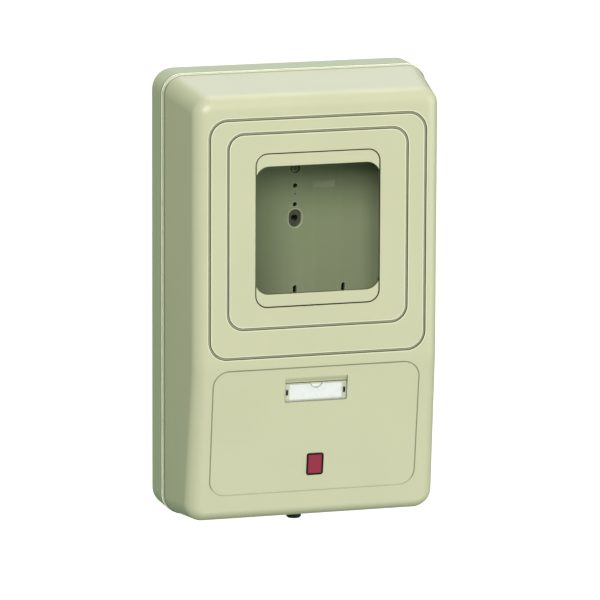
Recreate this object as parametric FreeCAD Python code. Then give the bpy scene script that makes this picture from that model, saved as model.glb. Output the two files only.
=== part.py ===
import FreeCAD, Part
import math
import os

# Wall-mounted electric meter box. The wall is the plane Y = 0, the front looks along -Y, +Z is up.
# Z = 0 is the height of the meter window's centre and X = 0 is the middle of the box.
V = FreeCAD.Vector

# Box
BOX_HALF_W = 135.0          # half width of the rear base
BOX_TOP = 144.6             # top of the base above the window centre
BOX_BOTTOM = -298.0         # bottom of the base
BOX_CORNER_R = 20.5
BOX_DEPTH = 122.0           # wall to front face
BASE_DEPTH = 37.2           # wall to seam
BASE_WALL = 3.0
BASE_BACK_EDGE = 1.5        # chamfer along the wall edge
LEDGE = 0.8                 # how far the base rim stands outside the cover
SEAM_GAP = 0.3              # cover rim to base rim

# Lap lip of the base, inside the cover
LIP_STEP = 2.5              # thickness of the step that carries the lip
LIP_WALL = 2.5
LIP_REACH = 8.0             # how far the lip stands past the base rim
LIP_SIDE_GAP = 1.5          # lip to the inside of the cover rim
LIP_CORNER_R = 21.0

# Front cover
COVER_WALL = 2.5
RIM_BAND = 6.0              # straight band next to the seam
RIM_STEP = 0.7              # band to tapered wall
RIM_CHAMFER = 0.8
COVER_DRAFT = 0.129         # taper of the top and of both sides per mm of depth
FOOT_DRAFT = 0.065          # taper of the bottom
SIDE_CORNER_R = 19.0        # rounding between the tapered sides
FRONT_ROUND = 15.0          # rounding between front and sides
BREAK_Z = -135.0            # where the lower front starts to lean back
LEAN = 7.5                  # degrees the lower front leans back
BREAK_R = 40.0              # soft rounding along that line

# Window and its grooves
WINDOW_HALF_W = 63.5
WINDOW_HALF_H = 76.7
WINDOW_CORNER_R = 12.5
GROOVE_W = 2.6
GROOVE_D = 1.3
INNER_GROOVE = (91.0, -97.0, 96.6, 16.0)      # half width, bottom, top, corner
OUTER_GROOVE = (109.6, -125.7, 110.7, 18.0)

# Window adapter
ADAPTER_GAP = 1.2           # strips to the window edge
ADAPTER_OPEN = 63.5         # half height of its square opening
ADAPTER_OPEN_R = 14.0
ADAPTER_FLANGE_T = 2.0
ADAPTER_MARGIN = 15.0       # flange beyond the window
ADAPTER_SEAT = 0.3          # flange to the cover's inner face
ADAPTER_FLUSH = 0.3         # strips behind the front face
ADAPTER_RIB = (5.0, 2.0)    # height, thickness of its stiffening rib
CLIP_W = 14.0
CLIP_T = 2.0
CLIP_GAP = 0.3
CLIP_HOOK = 2.5

# Lower panel outline on the leaning face; s runs down that face from the break line
PANEL_HALF_W = 105.3
PANEL_S = (3.3, 132.6)
PANEL_CORNER_R = 16.0
PANEL_LINE_W = 1.2
PANEL_LINE_D = 0.6

# Name card, its pocket and its clear lid
POCKET_HALF_W = 31.9
POCKET_S = (19.6, 39.0)
POCKET_D = 2.4
POCKET_CORNER_R = 1.5
RAMP_S = 12.1               # upper end of the finger ramp
PAD_T = 2.6                 # local thickening behind the pocket
PAD_MARGIN = 4.0
CARD_HALF_W = 26.75
CARD_H = 15.3
CARD_T = 0.4
LID_GAP = 0.35              # lid to pocket sides
LID_T = 1.2
LID_SINK = 0.2              # lid face below the panel face
LID_SKIRT = 1.0             # thickness of the lid's edge walls
LID_FLOOR_GAP = 0.5
LID_NOTCH_R = 5.6
LID_NOTCH_RISE = 1.3        # centre of the notch above the lid's top edge
LID_EAR_GAP = (2.6, 6.0)    # width and height of the relief beside each snap ear
LID_PIN_R = 0.6
LID_PIN_REACH = 1.0
LID_PIN_FIT = 0.06
LID_PIN_EDGE = 0.9          # pin centre from the lid's lower edge
LID_PIN_DEPTH = 1.0         # pin centre below the panel face

# Badge plate
BADGE_X = 2.0
BADGE_S = 104.9
BADGE_HALF_W = 8.6
BADGE_H = 22.8
BADGE_CORNER_R = 2.5
BADGE_T = 0.8
BADGE_SINK = 0.4
BADGE_GAP = 0.3

# Meter plate
PLATE_FACE = 43.2           # wall to the front of the plate
PLATE_T = 3.0
PLATE_STEP = 1.0            # the meter seat stands this far in front of the rest of the plate
SIDE_GUTTER = 26.0          # room for cables between the plate and the side walls of the base
PLATE_Z = (-137.0, 110.0)
PLATE_CORNER_R = 8.0
PLATE_FLANGE = (7.0, 2.0)   # depth, thickness of its edge flange
PLATE_RELIEF = (60.0, -116.0, 30.0)     # cable relief: half width, top, corner radius
PLATE_FIX_INSET = 14.0      # screws to the plate's side edges
PLATE_FIX_Z = (-122.0, 96.0)
SEAT_INSET = 12.0           # meter seat to the line of the screws
SEAT_Z = (-112.0, 84.0)
HOLE_CLEARANCE = 0.35
POST_R = 6.5
POST_RIB_T = 2.0
POST_RIB_GAP = 1.0          # rib to the plate's edge flange

# Meter fixing holes in the plate
HANGER_Z = 45.8
HANGER_HEAD_R = 4.7
HANGER_HEAD_T = 2.4
SPARE_HOLES_Z = (28.1, 9.3)
SPARE_HOLE_R = 2.4
OVAL_Z = -4.5
OVAL_HALF_W = 6.65
OVAL_HALF_H = 9.1
SLOT_PITCH = 50.0
SLOT_COUNT = 3
SLOT_HALF_W = 2.1
SLOT_Z = (-104.0, -72.0)

# Steel strip behind the plate
STRIP_HALF_W = 9.0
STRIP_Z = (-30.0, 66.0)
STRIP_T = 1.6
STRIP_CORNER_R = 3.0
STRIP_EYE_R = 3.2
RIVETS_Z = (20.0, 58.0)
RIVET_R = 1.0
RIVET_HEAD = (1.9, 0.7)     # radius, thickness

# Nuts behind the slots
SLOT_NUT_HALF = 4.0
SLOT_NUT_T = 2.7
SLOT_NUT_SEAT = 0.1         # nut to the back of the plate
SLOT_NUT_Z = -90.0
CHANNEL_T = 1.6
CHANNEL_GAP = 0.4

# Screws M4 and their inserts
M4_R = 2.0
M4_HEAD = (4.0, 2.5)        # head radius, thickness
M4_LENGTH = 10.0
INSERT_R = 3.0
INSERT_L = 8.0
THREAD_FIT = 0.05

# Wall fixing
WALL_HALF_PITCH = 85.0
WALL_Z = (-252.0, 122.0)
WALL_HOLE_R = 3.0
WALL_BOSS = (9.0, 2.0)      # radius, height on the inside of the back wall
WALL_WASHER = (7.5, 1.5)    # radius, thickness

# Cable entries in the bottom wall
ENTRY_X = 62.0
ENTRY_R = 13.5
ENTRY_Y = 18.8              # from the wall
BUSH_LIP = 1.8
BUSH_T = 1.8
BUSH_WALL = 1.6
BUSH_WEB = 0.8
DRAIN_X = 95.0
DRAIN_R = 2.2

# Cover screw
SCREW_Y = 42.0              # from the wall
M5_R = 2.5
M5_NUT_T = 4.0
M5_REACH = 16.0             # shank above the cover tongue
KNOB_R = 7.5
KNOB_H = 10.0
KNOB_FLUTES = 8
KNOB_FLUTE_R = 1.6
KNOB_DOME = 1.2
KNOB_SOCKET = 6.5           # depth of shank moulded into the knob
WASHER_R = 6.0
WASHER_T = 1.0
RING = (4.4, 1.0)           # retaining ring radius, thickness
RING_GROOVE_R = 2.0
RING_OPEN = 3.0
RING_SEAT = 0.2
TONGUE_HALF_W = 13.0
TONGUE_T = 4.0
SCREW_SEAT_R = 8.0          # round seat for the washer and the ring at the screw hole
TONGUE_BACK = 30.0          # end of the cover tongue, from the wall
TONGUE_GAP = 0.6
TAB_HALF_W = 20.0
TAB_T = 3.0
TAB_RISE = 2.5              # tab underside above the tongue
TAB_WALL = 4.0
TAB_SLOT = 3.2              # half width of the open slot for the shank
NUT_GAP = 0.3
NUT_HALF_W = 6.0
NUT_Y = (36.0, 57.0)        # rear and front end, from the wall
GUIDE_T = 2.0
GUIDE_GAP = 0.3
GUIDE_Y = (52.0, 59.0)
GUIDE_TOP = 5.0             # guide above the nut's rest height

# Hooks at the top of the cover
HOOK_X = 75.0
HOOK_W = 22.0
HOOK_T = 2.5
HOOK_DROP = 9.5             # arm's top face below the cover's top edge
HOOK_ROOT = (1.6, 4.9)      # gap in front of the lip, thickness
HOOK_BACK = 7.0             # catch behind the seam
HOOK_CATCH = (5.5, 2.0)     # height above the arm, thickness

# Values that follow
SEAM_Y = -BASE_DEPTH
FRONT_Y = -BOX_DEPTH
RIM_Y = SEAM_Y - SEAM_GAP
COVER_HALF_W = BOX_HALF_W - LEDGE
COVER_TOP = BOX_TOP - LEDGE
COVER_BOTTOM = BOX_BOTTOM + LEDGE
COVER_CORNER_R = BOX_CORNER_R - LEDGE
LIP_INSET = LEDGE + COVER_WALL + LIP_SIDE_GAP
LIP_END_Y = SEAM_Y - LIP_REACH
TAPER_Y = RIM_Y - RIM_BAND
FRONT_INNER_Y = FRONT_Y + COVER_WALL
PLATE_Y = -PLATE_FACE
PLATE_BACK_Y = PLATE_Y + PLATE_T
PLATE_FIX_Y = PLATE_Y + PLATE_STEP
PLATE_HALF_W = BOX_HALF_W - BASE_WALL - SIDE_GUTTER
PLATE_FIX_X = PLATE_HALF_W - PLATE_FIX_INSET
SEAT_HALF_W = PLATE_FIX_X - SEAT_INSET
TONGUE_TOP = COVER_BOTTOM + TONGUE_T
TAB_Z = TONGUE_TOP + TAB_RISE
NUT_Z = TAB_Z + TAB_T + NUT_GAP
LEAN_RAD = math.radians(LEAN)
BIG = 400.0


def outline(half_w, z_low, z_high, r, y):
    """Closed rounded rectangle in the plane Y = y."""
    c = r * (1.0 - math.sqrt(0.5))
    p = [V(-half_w + r, y, z_low), V(half_w - r, y, z_low), V(half_w, y, z_low + r),
         V(half_w, y, z_high - r), V(half_w - r, y, z_high), V(-half_w + r, y, z_high),
         V(-half_w, y, z_high - r), V(-half_w, y, z_low + r)]
    m = [V(half_w - c, y, z_low + c), V(half_w - c, y, z_high - c),
         V(-half_w + c, y, z_high - c), V(-half_w + c, y, z_low + c)]
    edges = []
    for i in range(4):
        a = p[2 * i]
        b = p[2 * i + 1]
        d = p[(2 * i + 2) % 8]
        edges.append(Part.makeLine(a, b))
        edges.append(Part.Arc(b, m[i], d).toShape())
    return Part.Wire(edges)


def slab(half_w, z_low, z_high, r, y0, y1):
    """Rounded rectangle extruded between two depths."""
    return Part.Face(outline(half_w, z_low, z_high, r, y0)).extrude(V(0, y1 - y0, 0))


def box(x0, x1, y0, y1, z0, z1):
    """Plain block between two corners."""
    lo = V(min(x0, x1), min(y0, y1), min(z0, z1))
    return Part.makeBox(abs(x1 - x0), abs(y1 - y0), abs(z1 - z0), lo)


def rod_y(r, x, z, y0, y1):
    """Cylinder along Y."""
    return Part.makeCylinder(r, abs(y1 - y0), V(x, min(y0, y1), z), V(0, 1, 0))


def rod_z(r, x, y, z0, z1):
    """Cylinder along Z."""
    return Part.makeCylinder(r, abs(z1 - z0), V(x, y, min(z0, z1)), V(0, 0, 1))


def ring_slab(half_w, z_low, z_high, r, wall, y0, y1):
    """Wall of constant thickness that follows a rounded rectangle."""
    outer = slab(half_w, z_low, z_high, r, y0, y1)
    inner = slab(half_w - wall, z_low + wall, z_high - wall, r - wall, y0, y1)
    return outer.cut(inner)


def fuse(shapes):
    """One solid from several."""
    whole = shapes[0]
    for s in shapes[1:]:
        whole = whole.fuse(s)
    return whole.removeSplitter()


def lean(shape):
    """Turns a shape drawn on the upright front plane onto the leaning lower face."""
    shape.rotate(V(0, FRONT_Y, BREAK_Z), V(1, 0, 0), LEAN)
    return shape


def on_panel(half_w, s_top, s_low, r, d0, d1, x=0.0):
    """Rounded slab on the leaning face: s runs down the face, d into it."""
    s = slab(half_w, BREAK_Z - s_low, BREAK_Z - s_top, r, FRONT_Y + d0, FRONT_Y + d1)
    s.translate(V(x, 0, 0))
    return lean(s)


def mirrored(shape):
    """The same shape on the other side of the box."""
    return shape.mirror(V(0, 0, 0), V(1, 0, 0))


def front_cutter(inset):
    """Everything in front of the cover's face: upright above, leaning back below, softly broken between."""
    r = BREAK_R - inset
    y0 = FRONT_Y + inset
    t = math.tan(LEAN_RAD / 2.0)
    zb = BREAK_Z + inset * t
    high = V(0, y0, zb + r * t)
    low = V(0, y0 + r * t * math.sin(LEAN_RAD), zb - r * t * math.cos(LEAN_RAD))
    mid = V(0, y0 + r - r * math.cos(LEAN_RAD / 2.0), zb + r * t - r * math.sin(LEAN_RAD / 2.0))
    down = V(0, y0 + BIG * math.sin(LEAN_RAD), zb - BIG * math.cos(LEAN_RAD))
    top = V(0, y0, BIG)
    far = [V(0, y0 - BIG, down.z), V(0, y0 - BIG, BIG)]
    edges = [Part.makeLine(top, high), Part.Arc(high, mid, low).toShape(), Part.makeLine(low, down),
             Part.makeLine(down, far[0]), Part.makeLine(far[0], far[1]), Part.makeLine(far[1], top)]
    face = Part.Face(Part.Wire(edges))
    face.translate(V(-BIG, 0, 0))
    return face.extrude(V(2 * BIG, 0, 0))


def facing(face):
    """Outward direction at the middle of a face."""
    u0, u1, v0, v1 = face.ParameterRange
    return face.normalAt((u0 + u1) / 2.0, (v0 + v1) / 2.0)


def front_edges(form):
    """Edges all round the front of the form, without those between its front faces."""
    found = []
    fronts = [f for f in form.Faces if facing(f).y < -0.9]
    for face in fronts:
        for edge in face.Edges:
            if sum(edge.isSame(e) for f in fronts for e in f.Edges) == 1:
                found.append(edge)
    return found


def cover_form(inset):
    """Whole form of the cover moved inwards by inset; the inside has flats in place of the front rounding."""
    y0 = TAPER_Y + RIM_STEP
    start = inset + RIM_STEP
    end = start + (y0 - FRONT_Y) * COVER_DRAFT
    foot_end = start + (y0 - FRONT_Y) * FOOT_DRAFT
    form = Part.makeWedge(end - COVER_HALF_W, FRONT_Y, COVER_BOTTOM + foot_end,
                          COVER_BOTTOM + start, start - COVER_HALF_W,
                          COVER_HALF_W - end, y0, COVER_TOP - end, COVER_TOP - start, COVER_HALF_W - start)
    corners = [e for e in form.Edges if abs(e.tangentAt(0).y) > 0.9]
    form = form.makeFillet(SIDE_CORNER_R - inset, corners)
    form = form.cut(front_cutter(inset))
    r = FRONT_ROUND - inset
    edges = front_edges(form)
    form = form.makeChamfer(r * (2.0 - math.sqrt(2.0)), edges) if inset else form.makeFillet(r, edges)
    k = inset
    band = slab(COVER_HALF_W - k, COVER_BOTTOM + k, COVER_TOP - k, COVER_CORNER_R - k, RIM_Y, TAPER_Y)
    return form.fuse(band)


def rim_relief():
    """Small chamfer along the outer edge of the cover rim, which makes the dark seam line."""
    c = RIM_CHAMFER
    a = outline(COVER_HALF_W + c, COVER_BOTTOM - c, COVER_TOP + c, COVER_CORNER_R + c, RIM_Y)
    block = Part.Face(a).extrude(V(0, -c, 0))
    rim = outline(COVER_HALF_W - c, COVER_BOTTOM + c, COVER_TOP - c, COVER_CORNER_R - c, RIM_Y)
    full = outline(COVER_HALF_W, COVER_BOTTOM, COVER_TOP, COVER_CORNER_R, RIM_Y - c)
    core = Part.makeLoft([rim, full], True, True)
    return block.cut(core)


def groove(half_w, z_low, z_high, r, y_face, width, depth):
    """Ring cutter for a line sunk into an upright face."""
    g = width / 2.0
    return ring_slab(half_w + g, z_low - g, z_high + g, r + g, width, y_face - 1.0, y_face + depth)


def panel_line():
    """Cutter for the thin outline of the lower panel."""
    g = PANEL_LINE_W / 2.0
    z_high = BREAK_Z - PANEL_S[0]
    z_low = BREAK_Z - PANEL_S[1]
    s = ring_slab(PANEL_HALF_W + g, z_low - g, z_high + g, PANEL_CORNER_R + g, PANEL_LINE_W,
                  FRONT_Y - 1.0, FRONT_Y + PANEL_LINE_D)
    return lean(s)


def pocket():
    """Cutter for the name card pocket with its finger ramp and the reliefs beside the lid's ears."""
    room = on_panel(POCKET_HALF_W, POCKET_S[0], POCKET_S[1], POCKET_CORNER_R, -1.0, POCKET_D)
    z0 = BREAK_Z - RAMP_S
    z1 = BREAK_Z - POCKET_S[0]
    low = z1 - POCKET_CORNER_R
    pts = [V(-POCKET_HALF_W, FRONT_Y - 1.0, z0), V(-POCKET_HALF_W, FRONT_Y, z0),
           V(-POCKET_HALF_W, FRONT_Y + POCKET_D, z1), V(-POCKET_HALF_W, FRONT_Y + POCKET_D, low),
           V(-POCKET_HALF_W, FRONT_Y - 1.0, low)]
    ramp = Part.Face(Part.makePolygon(pts + pts[:1])).extrude(V(2 * POCKET_HALF_W, 0, 0))
    return room.fuse(lean(ramp))


def ear_reliefs(depth):
    """Small slots beside the snap ears of the lid."""
    w, h = LID_EAR_GAP
    mid = BREAK_Z - (POCKET_S[0] + POCKET_S[1]) / 2.0
    x1 = POCKET_HALF_W - LID_GAP - LID_SKIRT
    cutter = box(x1 - w, x1, FRONT_Y - 1.0, FRONT_Y + depth, mid - h / 2.0, mid + h / 2.0)
    return lean(cutter.fuse(mirrored(cutter)))


def pin_rods(r, reach):
    """Hinge pins of the lid, or with a larger radius the holes for them."""
    z = BREAK_Z - POCKET_S[1] + LID_GAP + LID_PIN_EDGE
    y = FRONT_Y + LID_PIN_DEPTH
    x0 = POCKET_HALF_W - LID_GAP - LID_SKIRT
    rod = Part.makeCylinder(r, reach + LID_GAP + LID_SKIRT, V(x0, y, z), V(1, 0, 0))
    return lean(Part.makeCompound([rod, mirrored(rod)]))


def cover_hooks():
    """Two hooks that reach under the lip of the base and catch behind it."""
    top = COVER_TOP - HOOK_DROP
    y_root = LIP_END_Y - HOOK_ROOT[0]
    y_front = y_root - HOOK_ROOT[1]
    y_catch = SEAM_Y + HOOK_BACK
    hooks = []
    for x in (-HOOK_X, HOOK_X):
        x0 = x - HOOK_W / 2.0
        x1 = x + HOOK_W / 2.0
        root = box(x0, x1, y_root, y_front, top - HOOK_T, COVER_TOP - COVER_WALL - RIM_STEP)
        arm = box(x0, x1, y_root, y_catch, top - HOOK_T, top)
        catch = box(x0, x1, y_catch, y_catch - HOOK_CATCH[1], top - HOOK_T, top + HOOK_CATCH[0])
        hooks += [root, arm, catch]
    return hooks


def adapter_clips():
    """L-shaped clips inside the cover that hold the window adapter's flange."""
    half_w = WINDOW_HALF_W + ADAPTER_MARGIN
    half_h = WINDOW_HALF_H + ADAPTER_MARGIN
    back = FRONT_INNER_Y + ADAPTER_SEAT + ADAPTER_FLANGE_T + CLIP_GAP
    clips = []
    for x in (-half_w / 2.0, half_w / 2.0):
        for side in (-1.0, 1.0):
            z0 = side * (half_h + CLIP_GAP)
            z1 = z0 + side * CLIP_T
            zh = side * (half_h - CLIP_HOOK)
            x0 = x - CLIP_W / 2.0
            x1 = x + CLIP_W / 2.0
            wall = box(x0, x1, FRONT_INNER_Y - 0.5, back + CLIP_T, z0, z1)
            hook = box(x0, x1, back, back + CLIP_T, zh, z1)
            clips += [wall, hook]
    return clips


def nut_guides():
    """Two ribs inside the cover that keep the nut from turning."""
    x0 = NUT_HALF_W + GUIDE_GAP
    rib = box(x0, x0 + GUIDE_T, -GUIDE_Y[0], -GUIDE_Y[1], COVER_BOTTOM + COVER_WALL / 2.0 + RIM_STEP,
              NUT_Z + M5_NUT_T + GUIDE_TOP)
    return [rib, mirrored(rib)]


def make_cover():
    """Front cover: thin moulded shell with window, grooves, card pocket, hooks and screw tongue."""
    shell = cover_form(0.0).cut(cover_form(COVER_WALL))
    inner_mouth = slab(COVER_HALF_W - COVER_WALL, COVER_BOTTOM + COVER_WALL, COVER_TOP - COVER_WALL,
                       COVER_CORNER_R - COVER_WALL, RIM_Y + 1.0, RIM_Y - 1.0)
    shell = shell.cut(inner_mouth).cut(rim_relief())
    pad = on_panel(POCKET_HALF_W + PAD_MARGIN, RAMP_S, POCKET_S[1] + PAD_MARGIN, POCKET_CORNER_R,
                   COVER_WALL - 0.5, COVER_WALL + PAD_T)
    badge_pad = on_panel(BADGE_HALF_W + PAD_MARGIN, BADGE_S - BADGE_H / 2.0 - PAD_MARGIN,
                         BADGE_S + BADGE_H / 2.0 + PAD_MARGIN, BADGE_CORNER_R, COVER_WALL - 0.5,
                         COVER_WALL + BADGE_SINK, BADGE_X)
    tongue = box(-TONGUE_HALF_W, TONGUE_HALF_W, RIM_Y - 1.0, -TONGUE_BACK, COVER_BOTTOM, TONGUE_TOP)
    seat = rod_z(SCREW_SEAT_R, 0, -SCREW_Y, COVER_BOTTOM, TONGUE_TOP)
    shell = fuse([shell, pad, badge_pad, tongue, seat] + cover_hooks() + adapter_clips() + nut_guides())
    window = slab(WINDOW_HALF_W, -WINDOW_HALF_H, WINDOW_HALF_H, WINDOW_CORNER_R,
                  FRONT_Y - 1.0, FRONT_INNER_Y + 1.0)
    half_w, z_low, z_high, r = INNER_GROOVE
    shell = shell.cut(window).cut(groove(half_w, z_low, z_high, r, FRONT_Y, GROOVE_W, GROOVE_D))
    half_w, z_low, z_high, r = OUTER_GROOVE
    shell = shell.cut(groove(half_w, z_low, z_high, r, FRONT_Y, GROOVE_W, GROOVE_D)).cut(panel_line())
    shell = shell.cut(pocket()).cut(ear_reliefs(COVER_WALL + PAD_T + 1.0))
    shell = shell.cut(pin_rods(LID_PIN_R + LID_PIN_FIT, LID_PIN_REACH + LID_GAP))
    recess = on_panel(BADGE_HALF_W + BADGE_GAP, BADGE_S - BADGE_H / 2.0 - BADGE_GAP,
                      BADGE_S + BADGE_H / 2.0 + BADGE_GAP, BADGE_CORNER_R + BADGE_GAP,
                      -1.0, BADGE_SINK, BADGE_X)
    hole = rod_z(M5_R + HOLE_CLEARANCE, 0, -SCREW_Y, COVER_BOTTOM - 1.0, TONGUE_TOP + 1.0)
    return shell.cut(recess).cut(hole)


def make_window_adapter():
    """Frame behind the window: flange, two strips flush with the front, stiffening rib."""
    y_seat = FRONT_INNER_Y + ADAPTER_SEAT
    y_back = y_seat + ADAPTER_FLANGE_T
    half_w = WINDOW_HALF_W + ADAPTER_MARGIN
    half_h = WINDOW_HALF_H + ADAPTER_MARGIN
    flange = slab(half_w, -half_h, half_h, WINDOW_CORNER_R, y_back, y_seat)
    strip = slab(WINDOW_HALF_W - ADAPTER_GAP, -WINDOW_HALF_H + ADAPTER_GAP, WINDOW_HALF_H - ADAPTER_GAP,
                 WINDOW_CORNER_R - ADAPTER_GAP, y_seat, FRONT_Y + ADAPTER_FLUSH)
    rib_h, rib_t = ADAPTER_RIB
    rib = ring_slab(WINDOW_HALF_W + rib_h, -ADAPTER_OPEN - rib_h, ADAPTER_OPEN + rib_h,
                    ADAPTER_OPEN_R + rib_h, rib_t,
                    y_back, y_back + rib_h)
    whole = fuse([flange, strip, rib])
    opening = slab(ADAPTER_OPEN, -ADAPTER_OPEN, ADAPTER_OPEN, ADAPTER_OPEN_R, y_back + 1.0, FRONT_Y - 1.0)
    return whole.cut(opening)


def base_shell():
    """Tray of the base with the stepped lip that the cover laps over."""
    outer = slab(BOX_HALF_W, BOX_BOTTOM, BOX_TOP, BOX_CORNER_R, 0.0, SEAM_Y)
    back = max(outer.Faces, key=lambda f: f.CenterOfMass.y)
    outer = outer.makeChamfer(BASE_BACK_EDGE, back.Edges)
    t = BASE_WALL
    room = slab(BOX_HALF_W - t, BOX_BOTTOM + t, BOX_TOP - t, BOX_CORNER_R - t, -t, SEAM_Y - 1.0)
    k = LIP_INSET
    step = slab(BOX_HALF_W - LEDGE, BOX_BOTTOM + LEDGE, BOX_TOP - LEDGE, BOX_CORNER_R - LEDGE,
                SEAM_Y, SEAM_Y + LIP_STEP)
    lip = slab(BOX_HALF_W - k, BOX_BOTTOM + k, BOX_TOP - k, LIP_CORNER_R, SEAM_Y + LIP_STEP, LIP_END_Y)
    k = LIP_INSET + LIP_WALL
    mouth = slab(BOX_HALF_W - k, BOX_BOTTOM + k, BOX_TOP - k, LIP_CORNER_R - LIP_WALL,
                 SEAM_Y + LIP_STEP + 1.0, LIP_END_Y - 1.0)
    return fuse([outer.cut(room), step.fuse(lip).cut(mouth)])


def base_posts():
    """Four posts with ribs that carry the meter plate."""
    rib_y = PLATE_BACK_Y + PLATE_FLANGE[0] + POST_RIB_GAP
    posts = []
    for sx in (-1.0, 1.0):
        for z in PLATE_FIX_Z:
            posts.append(rod_y(POST_R, sx * PLATE_FIX_X, z, -BASE_WALL / 2.0, PLATE_BACK_Y))
            posts.append(box(sx * PLATE_FIX_X, sx * (BOX_HALF_W - BASE_WALL / 2.0), -BASE_WALL / 2.0,
                             rib_y, z - POST_RIB_T / 2.0, z + POST_RIB_T / 2.0))
    return posts


def screw_tab():
    """Roofed tab at the bottom of the base with an open slot for the cover screw."""
    floor = BOX_BOTTOM + BASE_WALL / 2.0
    roof = box(-TAB_HALF_W, TAB_HALF_W, LIP_END_Y, -TONGUE_BACK + TAB_WALL, TAB_Z, TAB_Z + TAB_T)
    top = TAB_Z + TAB_T
    rear = box(-TAB_HALF_W, TAB_HALF_W, -TONGUE_BACK + TONGUE_GAP, -TONGUE_BACK + TAB_WALL, floor, top)
    side = box(TONGUE_HALF_W + TONGUE_GAP, TAB_HALF_W, SEAM_Y, -TONGUE_BACK + TAB_WALL, floor, top)
    side_lip = box(TONGUE_HALF_W + TONGUE_GAP, TAB_HALF_W, SEAM_Y, LIP_END_Y, BOX_BOTTOM + LIP_INSET, top)
    return [roof, rear, side, mirrored(side), side_lip, mirrored(side_lip)]


def make_base():
    """Rear base of the box."""
    body = base_shell()
    x = TONGUE_HALF_W + TONGUE_GAP
    room = box(-x, x, LIP_END_Y - 1.0, -TONGUE_BACK + TONGUE_GAP, BOX_BOTTOM - 1.0, TAB_Z)
    bosses = []
    for sx in (-1.0, 1.0):
        for z in WALL_Z:
            bosses.append(rod_y(WALL_BOSS[0], sx * WALL_HALF_PITCH, z,
                                -BASE_WALL / 2.0, -BASE_WALL - WALL_BOSS[1]))
    body = fuse([body] + screw_tab() + base_posts() + bosses).cut(room)
    slot = box(-TAB_SLOT, TAB_SLOT, LIP_END_Y - 1.0, -SCREW_Y, TAB_Z - 1.0, TAB_Z + TAB_T + 1.0)
    slot = slot.fuse(rod_z(TAB_SLOT, 0, -SCREW_Y, TAB_Z - 1.0, TAB_Z + TAB_T + 1.0))
    body = body.cut(slot)
    for sx in (-1.0, 1.0):
        for z in WALL_Z:
            body = body.cut(rod_y(WALL_HOLE_R, sx * WALL_HALF_PITCH, z, 1.0, -BASE_WALL - WALL_BOSS[1] - 1.0))
        for z in PLATE_FIX_Z:
            body = body.cut(rod_y(INSERT_R, sx * PLATE_FIX_X, z, PLATE_BACK_Y + INSERT_L + 2.0, PLATE_BACK_Y - 1.0))
        inside = BOX_BOTTOM + BASE_WALL + 1.0
        body = body.cut(rod_z(ENTRY_R, sx * ENTRY_X, -ENTRY_Y, BOX_BOTTOM - 1.0, inside))
        body = body.cut(rod_z(DRAIN_R, sx * DRAIN_X, -ENTRY_Y, BOX_BOTTOM - 1.0, inside))
    return body


def vertical_slot(x, z_low, z_high, half_w, y0, y1):
    """Upright slot cutter with round ends."""
    mid = box(x - half_w, x + half_w, y0, y1, z_low + half_w, z_high - half_w)
    return mid.fuse([rod_y(half_w, x, z_low + half_w, y0, y1), rod_y(half_w, x, z_high - half_w, y0, y1)])


def slot_places():
    """Centres of the lower meter slots."""
    return [(i - (SLOT_COUNT - 1) / 2.0) * SLOT_PITCH for i in range(SLOT_COUNT)]


def nut_channels():
    """Rails behind the plate that hold the square nuts."""
    rails = []
    gap = SLOT_NUT_HALF + CHANNEL_GAP
    y_back = PLATE_BACK_Y + SLOT_NUT_T + CHANNEL_GAP
    for x in slot_places():
        for side in (-1.0, 1.0):
            x0 = x + side * gap
            x1 = x0 + side * CHANNEL_T
            web = box(x0, x1, PLATE_BACK_Y - 0.5, y_back + CHANNEL_T, SLOT_Z[0], SLOT_Z[1])
            lip = box(x0 - side * CHANNEL_T, x1, y_back, y_back + CHANNEL_T, SLOT_Z[0], SLOT_Z[1])
            rails += [web, lip]
        foot = box(x - gap - CHANNEL_T, x + gap + CHANNEL_T, PLATE_BACK_Y - 0.5, y_back + CHANNEL_T,
                   SLOT_NUT_Z - SLOT_NUT_HALF - CHANNEL_T - CHANNEL_GAP, SLOT_NUT_Z - SLOT_NUT_HALF - CHANNEL_GAP)
        rails.append(foot)
    return rails


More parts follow.
